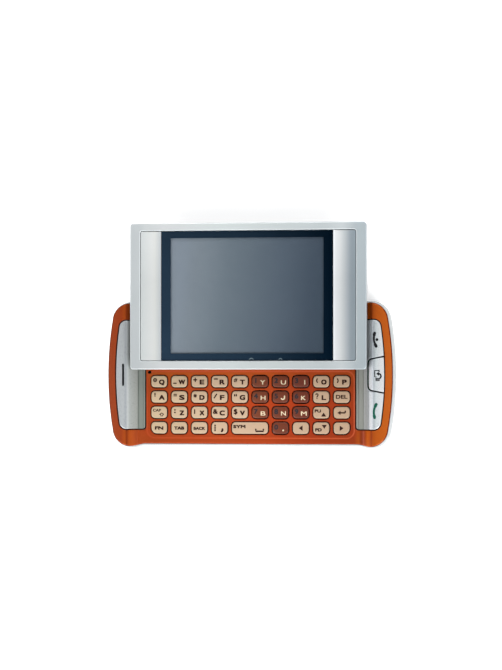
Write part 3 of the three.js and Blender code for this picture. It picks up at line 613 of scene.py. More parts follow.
# Painted light and shade on the silver ends: dark and bright lines at the crests of the ramps, and a bright
# band on the right ramp where the slider casts shade
END_PAINTED_LIGHT_STOPS = [
    (0.045, (0.33, 0.345, 0.358)), (0.0636, (0.37, 0.392, 0.4)), (0.07, (0.31, 0.33, 0.35)),
    (0.077, (0.42, 0.44, 0.44)), (0.083, (0.32, 0.34, 0.325)), (0.104, (0.275, 0.285, 0.262)),
    (0.895, (0.3, 0.31, 0.306)), (0.909, (0.25, 0.268, 0.274)), (0.911, (0.62, 0.66, 0.69)),
    (0.921, (0.57, 0.6, 0.63)), (0.928, (0.335, 0.364, 0.388)), (0.935, (0.5, 0.54, 0.55)),
    (0.95, (0.56, 0.575, 0.585)),
]
CHANNEL_STOPS = [(0.12, (0.15, 0.168, 0.148)), (0.88, (0.182, 0.187, 0.168))]
# Painted highlight along the bevelled edge of the key panel
LINE_HIGHLIGHT_STOPS = [(0.15, (0.29, 0.037, 0.006)), (0.5, (0.4, 0.055, 0.013)), (0.86, (0.32, 0.05, 0.014))]
# Painted shade: the key plastics darker towards the right of the keyboard
BEIGE_SHADED_STOPS = [(0.0, (0.355, 0.263, 0.162)), (0.45, (0.365, 0.255, 0.168)), (1.0, (0.29, 0.195, 0.122))]
BROWN_SHADED_STOPS = [(0.45, (0.13, 0.029, 0.0075)), (0.75, (0.092, 0.0145, 0.004))]
# Painted reflection on the window's border: lighter at its left, almost black at its right
BORDER_REFLECTION_STOPS = [
    (0.0, (0.0115, 0.023, 0.039)), (0.5, (0.0075, 0.0165, 0.0285)), (1.0, (0.0002, 0.0033, 0.0082)),
]
SLEEVE_STOPS = [
    (0.0, (0.04, 0.042, 0.048)), (0.3, (0.05, 0.052, 0.058)), (0.31, (0.3, 0.31, 0.32)),
    (0.33, (0.05, 0.052, 0.058)), (1.0, (0.04, 0.042, 0.048)),
]

# The board's colours, from the middle of a cell outwards
TRACK_STOPS = [
    (0.0, (0.3, 0.24, 0.09)), (0.16, (0.012, 0.1, 0.04)), (0.5, (0.02, 0.16, 0.06)),
    (0.75, (0.012, 0.09, 0.035)),
]

# Tint of the orange deck from its front edge to its rear edge, with painted light: brighter over the keys,
# and brightest and most orange just in front of the slider
DECK_TINT_AND_LIGHT_STOPS = [
    (0.0, (0.95, 1.05, 1)), (0.06, (0.95, 1.05, 1)), (0.1, (1.02, 0.97, 1)), (0.3, (1.07, 1.08, 1.1)),
    (0.44, (1.1, 1.3, 1.2)), (0.5, (1.1, 1.6, 1.25)), (0.55, (1, 1, 1)),
]

# Gloss of the orange, which is duller on both ramps
GLOSS_STOPS = [
    (0.07, 0.25), (0.076, 0.1), (0.105, 0.1), (0.112, 0.25), (0.888, 0.25), (0.893, 0.08), (0.922, 0.08),
    (0.928, 0.25),
]


def pearl_paint():
    """Orange lacquer over fine flakes, with painted light and shade: brighter in the middle of the deck,
    darker at the left end, and with dark and bright lines on both ramps.
    """
    tree, shader, place = starting("pearl_orange")
    across = along(tree, place, "X", -BASE_HALF, BASE_HALF)
    flakes = add(tree, "ShaderNodeTexVoronoi", {"Vector": place, "Scale": 5200}).outputs
    sparkle = ramp(tree, flakes["Color"], [(0.0, 0.8), (0.8, 1), (1.0, (1.25, 1.2, 1.2))])
    clouded = ramp(tree, noise(tree, place, 120, 3, 0.6), [(0.3, (0.94, 0.9, 0.9)), (0.7, 1)])
    tinted_and_lit = ramp(tree, along(tree, place, "Y", -BASE_HALF_WAIST, BASE_HALF_WAIST), DECK_TINT_AND_LIGHT_STOPS)
    on_deck = ramp(tree, across, [(0.11, 0), (0.14, 1), (0.86, 1), (0.89, 0)])
    base = multiplied(tree, ramp(tree, across, PEARL_PAINTED_LIGHT_STOPS), tinted_and_lit, on_deck)
    gloss = ramp(tree, across, GLOSS_STOPS)
    feed(tree, shader, {
        "Base Color": multiplied(tree, multiplied(tree, base, sparkle, 0.5), clouded),
        "Roughness": ranged(tree, flakes["Distance"], 0, 1, 0.3, 0.42),
        "Normal": bumped(tree, flakes["Distance"], 0.12, 0.004),
        "Specular IOR Level": gloss,
        "Coat Weight": gloss,
        "Coat Roughness": 0.1,
        "Metallic": 0.35,
    })


def clear_glass():
    """A clear pane: mostly see-through, with a glossy surface that is stronger at a slant."""
    tree, shader, place = starting("clear_glass")
    tree.nodes.remove(shader)
    smudged = ranged(tree, noise(tree, place, 140, 3, 0.6), 0.3, 0.7, 0.02, 0.08)
    clear = add(tree, "ShaderNodeBsdfTransparent", {"Color": (0.97, 0.975, 0.98, 1)}).outputs[0]
    gloss = add(tree, "ShaderNodeBsdfGlossy", {"Color": (0.95, 0.97, 1, 1), "Roughness": smudged}).outputs[0]
    fresnel = add(tree, "ShaderNodeFresnel", {"IOR": 1.45}).outputs[0]
    inside = add(tree, "ShaderNodeNewGeometry").outputs["Backfacing"]
    outside = add(tree, "ShaderNodeMath", {0: fresnel, 1: inside}, operation="SUBTRACT", use_clamp=True)
    mix = add(tree, "ShaderNodeMixShader", {0: outside.outputs[0], 1: clear, 2: gloss})
    feed(tree, tree.nodes["Material Output"], {"Surface": mix.outputs[0]})


def liquid_crystal_painted_reflection():
    """The unlit display: a grey that falls from its upper left to its lower right as a painted reflection,
    faintly mottled.
    """
    tree, shader, place = starting("liquid_crystal_painted_reflection")
    half_length, half_depth = DISPLAY[0] / 2, DISPLAY[1] / 2
    across = along(tree, place, "X", WINDOW_SHIFT - half_length, WINDOW_SHIFT + half_length)
    down = along(tree, place, "Y", FASCIA_Y + half_depth, FASCIA_Y - half_depth)
    base = ramp(tree, sum_of(tree, across, 0.92, down, 0.08), DISPLAY_REFLECTION_STOPS)
    mottled = ramp(tree, noise(tree, place, 400), [(0.3, (0.96, 0.965, 0.97)), (0.7, 1)])
    feed(tree, shader, {
        "Base Color": multiplied(tree, base, mottled),
        "Roughness": ranged(tree, noise(tree, place, 60), 0.3, 0.7, 0.3, 0.4),
        "Specular IOR Level": 0.3,
    })


def circuit():
    """Green board lacquer over tracks and pads."""
    tree, shader, place = starting("board_lacquer")
    inputs = {"Vector": place, "Scale": 420}
    cells = add(tree, "ShaderNodeTexVoronoi", inputs, distance="MANHATTAN").outputs["Distance"]
    feed(tree, shader, {
        "Base Color": ramp(tree, cells, TRACK_STOPS),
        "Roughness": ranged(tree, cells, 0, 0.6, 0.25, 0.45),
        "Normal": bumped(tree, cells, 0.4, 0.03),
    })


# What the finishes of one kind have in common
SATIN = {
    "metallic": 0.3, "rough": (0.3, 0.38), "coat": 0.25, "coat_rough": 0.2, "grain": 3600, "depth": 0.004,
}
KEY_PLASTIC = {"span": (-40, 40), "coat_rough": 0.3, "grain": 5200}
KEY_PRINT = {"rough": (0.5, 0.6), "grain": 6000}
SIDE_KEY_PRINT = {"rough": (0.4, 0.5), "grain": 6000, "specular": 0.1}
GAP = {"rough": (0.6, 0.7), "grain": 4000}
SLIDER_SPAN = (-SLIDER_HALF, SLIDER_HALF)
# Painted light: the frame a little brighter towards its rear edge
SLIDER_PAINTED_LIGHT_FALL = (TRAVEL - SLIDER_HALF_DEPTH, TRAVEL + SLIDER_HALF_DEPTH, 0.93, 1.03)

pearl_paint()
clear_glass()
liquid_crystal_painted_reflection()
circuit()
finish("frame_silver", FRAME_PAINTED_LIGHT_STOPS, 0.03, SLIDER_SPAN, SLIDER_PAINTED_LIGHT_FALL, **SATIN)
# Lit and shaded copies of the frame's silver: painted shade on its side walls, and a painted highlight on the
# bevel round its well
finish("frame_side_shaded_silver", (0.23, 0.25, 0.258), 0.04, **SATIN)
finish("frame_edge_highlight_silver", (0.6, 0.64, 0.65), 0.03, **SATIN)
# Painted light: the strips brighter towards their rear ends
finish("strip_silver", STRIP_PAINTED_LIGHT_STOPS, 0.025, SLIDER_SPAN, (TRAVEL + 6, TRAVEL + 23, 1, 1.12), metallic=0.25,
       rough=(0.28, 0.36), coat=0.3, coat_rough=0.15, grain=3600, depth=0.004)
finish("end_silver", END_PAINTED_LIGHT_STOPS, 0.015, metallic=0.4, rough=(0.26, 0.34), coat=0.2, grain=4200,
       depth=0.003)
finish("channel_grey", CHANNEL_STOPS, 0.05, metallic=0.2, rough=(0.4, 0.5), grain=3200)
finish("rear_silver", (0.285, 0.302, 0.302), 0.05, metallic=0.35, rough=(0.34, 0.44), coat=0.15,
       coat_rough=0.25, grain=2400, depth=0.01)
# Painted shade on the orange's rolled outer edge
finish("orange_edge_shade", (0.11, 0.013, 0.003), 0.1, rough=(0.35, 0.45), specular=0)
finish("orange_highlight_line", LINE_HIGHLIGHT_STOPS, 0.08, rough=(0.35, 0.45), specular=0.25)
finish("beige_key_plastic", BEIGE_SHADED_STOPS, rough=(0.42, 0.52), coat=0.15, **KEY_PLASTIC)
finish("brown_key_plastic", BROWN_SHADED_STOPS, 0.12, rough=(0.4, 0.5), coat=0.1, specular=0.3, **KEY_PLASTIC)
finish("brown_print", (0.024, 0.008, 0.005), 0.15, specular=0.1, **KEY_PRINT)
finish("grey_print", (0.02, 0.019, 0.024), 0.12, specular=0.1, **KEY_PRINT)
finish("yellow_print", (0.56, 0.47, 0.31), 0.12, **KEY_PRINT)
finish("black_print", (0.012, 0.012, 0.014), 0.2, **SIDE_KEY_PRINT)
finish("green_print", (0.007, 0.07, 0.045), 0.15, **SIDE_KEY_PRINT)
# Painted reflection: the border brighter towards its front edge
finish("window_border", BORDER_REFLECTION_STOPS, 0.1, (-32, 32), (TRAVEL - 24, TRAVEL + 24, 1.2, 0.84),
       rough=(0.5, 0.6), specular=0)
finish("border_mark", (0.09, 0.13, 0.15), 0.15, rough=(0.4, 0.5))
finish("gap_shade", (0.045, 0.011, 0.008), 0.15, **GAP)
# Painted shade: black for the gaps round the silver pieces and for the slit
finish("gap_painted_shade_black", (0.006, 0.007, 0.009), 0.15, specular=0.2, **GAP)
finish("lens_glass", (0.01, 0.012, 0.02), 0.1, rough=(0.03, 0.06), coat=1, coat_rough=0.02, specular=0.8)
finish("dark_plastic", (0.035, 0.037, 0.042), 0.18, rough=(0.45, 0.62), mottle=200, grain=3200,
       depth=0.02)
finish("key_rubber", (0.07, 0.07, 0.078), 0.15, rough=(0.7, 0.85), depth=0.02)
finish("rail_sheet", (0.5, 0.5, 0.51), metallic=0.95, rough=(0.28, 0.4), stretch=(2400, 60, 60),
       grain=1.0, depth=0.002)
finish("battery_sleeve", SLEEVE_STOPS, 0.12, (-23, 23), rough=(0.4, 0.55), grain=2400, depth=0.012)


# Dressing a piece: metres, shading, material, body and the CAD node that it stands for

def dress(made, node, body, names, angle=32):
    made.name = f"{node}_finished"
    made.data.name = made.name
    made.data.transform(Matrix.Scale(MM, 4))
    made.data.shade_smooth()
    made.data.set_sharp_from_angle(angle=math.radians(angle))
    slots = [face.material_index for face in made.data.polygons]
    made.data.materials.clear()
    for name in names:
        made.data.materials.append(looks[name])
    made.data.polygons.foreach_set("material_index", slots)
    weighted = made.modifiers.new("even_shading", "WEIGHTED_NORMAL")
    weighted.keep_sharp = True
    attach(made, body)
    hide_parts(node)


def assign(made, index, test):
    """Gives a material slot to every face whose middle passes the test, in millimetres."""
    for face in made.data.polygons:
        if test(*face.center):
            face.material_index = index


# Marks: flat shapes laid on a surface

def flat_text(words):
    """The outlines of a line of text as a flat shape."""
    curve = bpy.data.curves.new("text", "FONT")
    curve.body = words
    curve.resolution_u = 4
    holder = bpy.data.objects.new("text", curve)
    bpy.context.scene.collection.objects.link(holder)
    seen = holder.evaluated_get(bpy.context.evaluated_depsgraph_get())
    mesh = bpy.data.meshes.new_from_object(seen)
    corners = [tuple(corner.co) for corner in mesh.vertices]
    faces = [tuple(face.vertices) for face in mesh.polygons]
    bpy.data.objects.remove(holder)
    bpy.data.meshes.remove(mesh)
    return corners, faces


CAPITAL = max(y for _, y, _ in flat_text("H")[0])
BASELINE = min(y for _, y, _ in flat_text("H")[0])

# How much of a boldness goes into the height of text
BOLD_HEIGHT = 0.8


def bolder(shape, reach):
    """Thickens a flat shape by laying moved copies of it over each other, each a hair higher."""
    copies = [shape]
    for step, (x, y) in enumerate([(-1, -1), (1, -1), (1, 1), (-1, 1)], 1):
        copies.append(moved(shape, x * reach, y * reach * BOLD_HEIGHT, step * INK_STEP))
    return joined(copies)


def lettering(words, x, y, tall, wide=None, bold=0.12, stretch=1.15):
    """Text centred on a point. Its height is that of a capital, and wide is its whole width, if given."""
    corners, faces = flat_text(words)
    scale = (tall - 2 * BOLD_HEIGHT * bold) / (CAPITAL - BASELINE)
    left = min(corner[0] for corner in corners)
    right = max(corner[0] for corner in corners)
    scale_x = (wide - 2 * bold) / (right - left) if wide else scale * stretch
    placed = []
    for corner in corners:
        across = (corner[0] - (left + right) / 2) * scale_x
        up = (corner[1] - (CAPITAL + BASELINE) / 2) * scale
        placed.append((x + across, y + up, 0))
    return bolder((placed, faces), bold)


def polygon(points):
    return [(x, y, 0) for x, y in points], [tuple(range(len(points)))]


def stroke(points, width):
    """A line of even width with round ends."""
    left, right = [], []
    for at, (x, y) in enumerate(points):
        before = points[max(at - 1, 0)]
        after = points[min(at + 1, len(points) - 1)]
        run = math.hypot(after[0] - before[0], after[1] - before[1])
        side_x = -(after[1] - before[1]) / run * width / 2
        side_y = (after[0] - before[0]) / run * width / 2
        left.append((x + side_x, y + side_y, 0))
        right.append((x - side_x, y - side_y, 0))
    count = len(points)
    faces = [(k, count + k, count + k + 1, k + 1) for k in range(count - 1)]
    caps = [polygon(circle(x, y, width / 2, 12)) for x, y in (points[0], points[-1])]
    return joined([(left + right, faces), *caps])


def piled(shapes):
    """Flat shapes laid over each other, each a hair above the one before."""
    return joined([moved(shape, z=INK_STEP * at) for at, shape in enumerate(shapes)])


def drawn(*lines, width=0.46):
    """Strokes of one width, laid over each other."""
    return piled([stroke(line, width) for line in lines])


def wedge(x, y, half_x, half_y):
    """A solid triangle. The larger half size is its base, and the sign of the other says where it points."""
    if abs(half_x) > abs(half_y):
        return polygon([(x - half_x, y - half_y), (x + half_x, y - half_y), (x, y + half_y)])
    return polygon([(x - half_x, y + half_y), (x - half_x, y - half_y), (x + half_x, y)])


def lay(made, marks, index, surface_at, step=0.02):
    """Joins marks onto a piece as thin closed plates, each corner lifted to the surface."""
    corners, faces = marks
    tidy = bmesh.new()
    tidy.from_mesh(made.data)
    placed = [tidy.verts.new((x, y, surface_at(x, y) + step + lift)) for x, y, lift in corners]
    laid = []
    for face in faces:
        if len(set(face)) > 2:
            new = tidy.faces.new([placed[at] for at in face])
            new.material_index = index
            new.normal_update()
            if new.normal.z < 0:
                new.normal_flip()
            laid.append(new)
    bmesh.ops.solidify(tidy, geom=laid, thickness=INK_DEPTH)
    tidy.to_mesh(made.data)
    tidy.free()


# Lower half

def panel(grow):
    return rounded(2 * (PANEL_HALF + grow), PANEL_DEPTH + 2 * grow, PANEL_CORNER + grow, y=PANEL_Y)


def in_panel(x, y):
    return abs(x) < PANEL_HALF and abs(y - PANEL_Y) < PANEL_DEPTH / 2


def pocket_outline(grow):
    return end_half(DECK_HALF - PLATE_GAP - grow, PLATE_INNER_CORNER, -PLATE_GAP - grow)


def in_gap(x, y, z):
    """The walls of the key openings and of the pockets for the silver pieces."""
    past = PLATE_GAP + HAIR
    in_pocket = DECK_HALF - PLATE_GAP < abs(x) < PLATE_REACH + past and abs(y) < PLATE_HALF_DEPTH + past
    in_opening = in_panel(x, y) and z < PANEL_TOP - 0.12
    return in_opening or (in_pocket and z < top_at(x) - POCKET_BEVEL - HAIR)


def front_housing():
    drop = FRONT_EDGE - SEAM
    plug = base_half(WALL + SEAM)
    levels = [(plug, underside_at), (plug, below(drop)), (base_half(FRONT_INSET), below(drop))]
    for inset, rise in reversed(quarter_round(FRONT_ROLL, FRONT_ROLL, 5)):
        levels.append((base_half(FRONT_INSET + inset), below(rise)))
    made = solid(surface(levels))
    openings = []
    for key in keys:
        opening = flared(lambda grow: key_outline(key, KEY_GAP + grow), INSIDE, PANEL_TOP, 0.14)
        openings.append(opening)
    hole = flared(lambda grow: circle(*MICROPHONE, MICROPHONE_RADIUS + grow, 24), INSIDE, DECK_TOP, 0.12)
    recess = block(-RECESS_HALF, RECESS_HALF, *RECESS_Y, DECK_TOP - RECESS_DEPTH, DECK_TOP + OVERRUN)
    pocket = surface(rings(pocket_outline, [
        (0, below(PLATE_THICKNESS + 0.1)), (0, below(POCKET_BEVEL)), (POCKET_BEVEL, top_at),
        (POCKET_BEVEL, below(-OVERRUN)),
    ]))
    inside = end_half(DECK_HALF - PLATE_GAP + 0.1, PLATE_INNER_CORNER, PLATE_LEDGE)
    well = surface([(inside, 0), (inside, below(PLATE_THICKNESS / 2))])
    tray = stack(rings(panel, [(-0.35, PANEL_TOP), (0.1, DECK_TOP), (0.1, DECK_TOP + OVERRUN)]))
    worked(made, cuts(tray, joined(openings), recess, hole, pocket, well, mirrored(pocket), mirrored(well)))
    assign(made, 1, in_gap)
    # The pockets' walls at the right end are painted black as shade
    assign(made, 2, lambda x, y, z: in_gap(x, y, z) and x > BLACK_GAP_X)
    # The panel's bevelled edge gets a painted highlight line
    assign(made, 4, lambda x, y, z: in_panel(x, y) and PANEL_TOP + HAIR < z < DECK_TOP - HAIR)
    # The rolled outer edge gets painted shade
    for face in made.data.polygons:
        x, y, _ = face.center
        outward = face.normal.x * x + face.normal.y * y > 0
        if outward and EDGE_TILT[0] < face.normal.z < EDGE_TILT[1] and (abs(x) > EDGE_X or abs(y) > EDGE_Y):
            face.material_index = 3
    names = ["pearl_orange", "gap_shade", "gap_painted_shade_black", "orange_edge_shade", "orange_highlight_line"]
    dress(made, "front_housing", "base", names)


def door(grow):
    length, depth, corner = DOOR
    return rounded(length + 2 * grow, depth + 2 * grow, corner + grow)


def rear_cover():
    back = rings(base_half, quarter_round(BACK_INSET, BACK_ROUND, 8))

    def rim(share):
        return lambda x: WAISTLINE + (top_at(x) - FRONT_EDGE - WAISTLINE) * share

    sides = [(base_half(RIM_INSET * share**2), rim(share)) for share in between(0, 1, 6)]
    made = solid(surface([*back, *sides]))
    inside = surface([(base_half(WALL), FLOOR), (base_half(WALL), below(-OVERRUN))])
    bay = stack([(rounded(*BAY), -OVERRUN), (rounded(*BAY), FLOOR + 0.2)])
    rebate = stack(rings(door, [(0.2, -OVERRUN), (0.2, 0), (0, 0.2), (0, 1.1)]))
    sight = turned([(4.4, -OVERRUN), (4.4, 0), (4.1, 0.3), (4.1, 3.6)], *CAMERA, 48)
    slots = []
    for at in range(VENT_COUNT):
        x = VENT[0] + VENT_PITCH * (at - (VENT_COUNT - 1) / 2)
        slots.append(slot_below(x, VENT[1], (1.1, 6.3, 0.5), (0.8, 6.0, 0.39), (0.15, 3.6)))
    outside = BASE_HALF_DEPTH + OVERRUN
    left = SOCKET_X - SOCKET_HALF
    right = SOCKET_X + SOCKET_HALF
    port = block(left, right, -outside, SOCKET_DEPTH - BASE_HALF_WAIST, *SOCKET_HEIGHTS)
    left = ROCKER_X - ROCKER_LENGTH / 2 - ROCKER_PLAY
    right = ROCKER_X + ROCKER_LENGTH / 2 + ROCKER_PLAY
    half = ROCKER_HALF_HEIGHT + ROCKER_PLAY
    rocker = block(left, right, BASE_HALF_WAIST - 2.1, outside, ROCKER_MIDDLE - half, ROCKER_MIDDLE + half)
    worked(made, cuts(inside, bay, rebate, sight, joined(slots), port, rocker))
    dress(made, "rear_cover", "base", ["rear_silver"], 35)


def battery_door():
    levels = []
    for inset, rise in quarter_round(DOOR_EDGE, DOOR_EDGE, 4):
        levels.append((door(-DOOR_CLEARANCE - inset), rise))
    made = solid(stack([*levels, (door(-DOOR_CLEARANCE), 1)]))
    grooves = []
    for at in range(GRIP_COUNT):
        x = GRIP_X - GRIP_PITCH * at
        grooves.append(slot_below(x, 0, (1.0, 12.2, 0.45), (0.6, 11.8, 0.28), (0.3,)))
    dress(worked(made, cuts(joined(grooves))), "battery_door", "base", ["rear_silver"])


def plate(inner, corner, thickness):
    """A silver plate from its inner edge to the tip of the end, with a rounded upper edge."""
    levels = [(end_half(inner, corner, 0), below(thickness))]
    for inset, rise in reversed(quarter_round(*PLATE_EDGE, 4)):
        levels.append((end_half(inner + inset, max(corner - inset, 0.05), inset), below(rise)))
    return surface(levels)


def channel_cut():
    near, far = CHANNEL
    foot = top_at(CHANNEL_FOOT)
    section = [
        (near, CHANNEL_FLOOR), (far, CHANNEL_FLOOR), (far, foot - 0.2), (CHANNEL_FOOT, foot),
        (CHANNEL_FOOT, ABOVE), (near - 0.16, ABOVE), (near - 0.16, DECK_TOP), (near, DECK_TOP - 0.14),
    ]
    return along_y(section, -BASE_HALF_DEPTH, BASE_HALF_DEPTH)


def in_wall(x, y, z):
    """The lower walls of a silver piece, which lie in the dark of its gap and are painted black as shade."""
    return z < top_at(x) - WALL_TOP_DROP


def in_channel(x, y, z):
    return abs(x) < CHANNEL[1] + 0.01 and z > CHANNEL_FLOOR - 0.01


def in_slit(x, y, z):
    half_x, half_y = (size / 2 + SLIT_FLARE + 0.01 for size in SLIT)
    return abs(x - SLIT_X) < half_x and abs(y) < half_y and z < top_at(x) - 0.03


def left_end_plate():
    made = solid(mirrored(plate(DECK_HALF, PLATE_INNER_CORNER, PLATE_THICKNESS)))

    def slit(grow):
        return rounded(SLIT[0] + 2 * grow, SLIT[1] + 2 * grow, 0.26 + grow, x=SLIT_X)

    worked(made, cuts(mirrored(channel_cut()), flared(slit, 0, top_at, SLIT_FLARE)))
    assign(made, 2, in_wall)
    assign(made, 1, in_channel)
    # The slit's walls are painted black as shade
    assign(made, 2, in_slit)
    dress(made, "left_end_plate", "base", ["end_silver", "channel_grey", "gap_painted_shade_black"])


def round_shortcut():
    """A cutter for the middle key and the gap round it."""
    return flared(lambda grow: shortcut_outline(SHORTCUT_GAP + grow), 0, top_at, 0.3)


def right_end_strip():
    made = solid(plate(DECK_HALF, PLATE_INNER_CORNER, PLATE_THICKNESS))
    edge = END_KEY_INNER - VISIBLE_SEAM
    high = top_at(edge)
    flare = edge - 0.15
    section = [(edge, 0), (60, 0), (60, ABOVE), (flare, ABOVE), (flare, high), (edge, high - 0.15)]
    beyond = along_y(section, -BASE_HALF_DEPTH, BASE_HALF_DEPTH)
    worked(made, cuts(channel_cut(), beyond, round_shortcut()))
    assign(made, 2, in_wall)
    assign(made, 1, in_channel)
    dress(made, "right_end_strip", "base", ["end_silver", "channel_grey", "gap_painted_shade_black"])


# A handset's half length, how far its bar bends, and the widths of bar and ends
HANDSET_HALF = 2.4
HANDSET_BEND = 0.55
HANDSET_WIDTHS = (0.78, 1.1)


def handset(x, y, lean):
    """A telephone handset seen from its side: a bent bar with two thicker ends."""
    curve = []
    for t in between(-1, 1, 14):
        curve.append((x + lean * t - HANDSET_BEND * math.cos(t * math.pi / 2), y + HANDSET_HALF * t))
    bar, end = HANDSET_WIDTHS
    return piled([stroke(curve, bar), stroke([curve[0], curve[2]], end), stroke([curve[-3], curve[-1]], end)])


def side_key(node, y, steps, marks, ink):
    """One of the three keys of the right end, cut out of a plate, with its stem at y."""
    made = solid(plate(END_KEY_INNER, 0.4, END_KEY_THICKNESS))
    stem = block(*STEM_X, y - STEM_HALF, y + STEM_HALF, KEY_BOTTOM, STEM_TOP)
    worked(made, [*steps, ("UNION", stem)])
    lay(made, marks, 1, lambda x, y: top_at(x))
    assign(made, 2, in_wall)
    dress(made, node, node, ["end_silver", ink, "gap_painted_shade_black"])


def outer_key(node, side, marks, ink):
    low, high = (-BASE_HALF_DEPTH, 0) if side > 0 else (0, BASE_HALF_DEPTH)
    steps = cuts(round_shortcut(), block(0, BASE_HALF, low, high, 0, ABOVE))
    side_key(node, side * (PLATE_HALF_DEPTH + SHORTCUT_HALF[1]) / 2, steps, marks, ink)


def shortcut_key():
    levels = [(shortcut_outline(0), 0)]
    for inset, rise in reversed(quarter_round(*PLATE_EDGE, 4)):
        levels.append((shortcut_outline(-inset), below(rise)))
    levels.append((shortcut_outline(-PLATE_EDGE[0]), below(-OVERRUN)))
    page = [(0.45, 1.9), (-1.1, 1.9), (-1.1, -0.45), (-0.6, -0.45)]
    tail = [(0.3, 0.75), (0.75, 0.6), (1.1, 0.2), (1.15, -0.3), (0.85, -0.85)]
    sheet = [(-0.7, -1.0), (0.55, -1.0), (0.55, -1.8), (-0.7, -1.8), (-0.7, -1.0)]
    lines = [
        (page, 0.42), ([(0.45, 1.9), (0.45, 1.55)], 0.42), (tail, 0.6), (sheet, 0.36),
        ([(-0.6, -1.4), (0.45, -1.4)], 0.3),
    ]
    marks = piled([*[stroke(line, width) for line, width in lines], wedge(-0.1, 0.7, -0.5, 0.8)])
    steps = [("INTERSECT", stack(levels))]
    side_key("shortcut_key", 0, steps, moved(marks, 47.3, -0.35), "black_print")


def volume_rocker():
    levels = []
    for inset, rise in quarter_round(ROCKER_ROUND, ROCKER_ROUND, 4):
        size = (ROCKER_LENGTH - 2 * inset, ROCKER_DEPTH - inset, 0.7 - inset / 2)
        outline = rounded(*size, x=ROCKER_X, y=ROCKER_Y - inset / 2)
        levels.append((outline, ROCKER_MIDDLE - ROCKER_HALF_HEIGHT + rise))
    levels += [(outline, 2 * ROCKER_MIDDLE - z) for outline, z in reversed(levels)]
    notch = block(ROCKER_X - 0.3, ROCKER_X + 0.3, 26.6, 28, 3, 7)
    made = worked(solid(stack(levels)), cuts(notch))
    dress(made, "volume_rocker", "volume_rocker", ["rear_silver"])


def camera_module():
    x, y = CAMERA
    lens = [(LENS_RADIUS * share, 0.7 + 0.5 * share**2) for share in between(0, 1, 8)]
    ring = [(2.0, 0.5), (2.1, 0.38), (3.6, 0.35), (3.82, 0.42), (3.9, 0.6), (3.9, 1.9)]
    made = solid(turned([*lens, *ring], x, y, 48))
    worked(made, [("UNION", block(x - 4.2, x + 4.2, y - 4.2, y + 4.2, 1.7, 6.5))])
    assign(made, 1, lambda at_x, at_y, z: z < 1.3 and math.hypot(at_x - x, at_y - y) < LENS_RADIUS)
    dress(made, "camera_module", "base", ["dark_plastic", "lens_glass"])


# Keyboard

KEY_ROWS = [
    ["q", "w", "e", "r", "t", "y", "u", "i", "o", "p"],
    ["a", "s", "d", "f", "g", "h", "j", "k", "l", "delete"],
    ["shift", "z", "x", "c", "v", "b", "n", "m", "up", "enter"],
    ["fn", "tab", "back", "comma", "space", "space", "zero", "left", "down", "right"],
]
BROWN_KEYS = {"y", "u", "h", "i", "j", "k", "b", "n", "m", "zero"}


def key_places():
    places = []
    for row, names in enumerate(KEY_ROWS):
        y = ROW_TOP_Y - ROW_PITCH * (row + 0.5)
        for name in dict.fromkeys(names):
            first = names.index(name)
            last = first + names.count(name) - 1
            x = COLUMN_PITCH * ((first + last) / 2 - 4.5)
            length = KEY_LENGTH + COLUMN_PITCH * (last - first)
            lower_left = KEY_OUTER_CORNER if name == "fn" else KEY_CORNER
            lower_right = KEY_OUTER_CORNER if name == "right" else KEY_CORNER
            radii = (lower_left, lower_right, KEY_CORNER, KEY_CORNER)
            places.append({"name": name, "x": x, "y": y, "length": length, "radii": radii})
    return places


keys = key_places()

# Height of a key's top above the key panel, by the distance in from its edge
KEY_PROFILE = [
    (0, 0.2), (0.04, 0.3), (0.12, 0.38), (0.26, 0.43), (0.5, 0.46), (0.9, 0.48), (1.4, 0.495), (2.0, 0.5),
]


def key_outline(key, grow):
    radii = [max(radius + grow, 0.12) for radius in key["radii"]]
    return rounded(key["length"] + 2 * grow, KEY_DEPTH + 2 * grow, radii, 6, key["x"], key["y"])


def key_height(key):
    half_x = key["length"] / 2 - KEY_CORNER
    half_y = KEY_DEPTH / 2 - KEY_CORNER

    def at(x, y):
        out_x = abs(x - key["x"]) - half_x
        out_y = abs(y - key["y"]) - half_y
        out = math.hypot(max(out_x, 0), max(out_y, 0)) + min(max(out_x, out_y), 0) - KEY_CORNER
        inset = min(max(-out, 0), KEY_PROFILE[-1][0])
        for (near, low), (far, high) in zip(KEY_PROFILE, KEY_PROFILE[1:]):
            if inset <= far:
                return PANEL_TOP + low + (high - low) * (inset - near) / (far - near)
        return PANEL_TOP + KEY_PROFILE[-1][1]

    return at


# Widths of the capitals on the letter keys, where they differ from the usual one
LETTER_WIDTH = 2.0
WIDE_LETTERS = {
    "W": 2.5, "M": 2.35, "Q": 2.15, "A": 2.2, "S": 2.1, "G": 2.1, "U": 2.1, "T": 1.9, "V": 1.9, "K": 1.9,
    "X": 1.85, "E": 1.8, "Z": 1.8, "F": 1.7, "P": 1.7, "L": 1.7, "I": 0.36,
}

# Places of the smaller capitals on the brown keys, where they differ from the usual one
BROWN_X = 1.15
BROWN_PLACES = {"I": 1.5, "Y": 1.0, "K": 0.98}


def letter(words, brown):
    if words == "J":
        return drawn([(1.53, 0.35)] + arc(0.92, -0.27, 0.61, 0, -2.7, 10), width=0.42)
    wide = WIDE_LETTERS.get(words, LETTER_WIDTH)
    if brown:
        return lettering(words, BROWN_PLACES.get(words, BROWN_X), -0.32, 1.55, 0.9 * wide, 0.03)
    return lettering(words, 1.0, -0.2, 1.8, wide, 0.14)


def spokes(x, y, reach, count):
    lines = []
    for at in range(count):
        turn = math.pi * at / count
        across, up = reach * math.cos(turn), reach * math.sin(turn)
        lines.append([(x - across, y - up), (x + across, y + up)])
    return lines


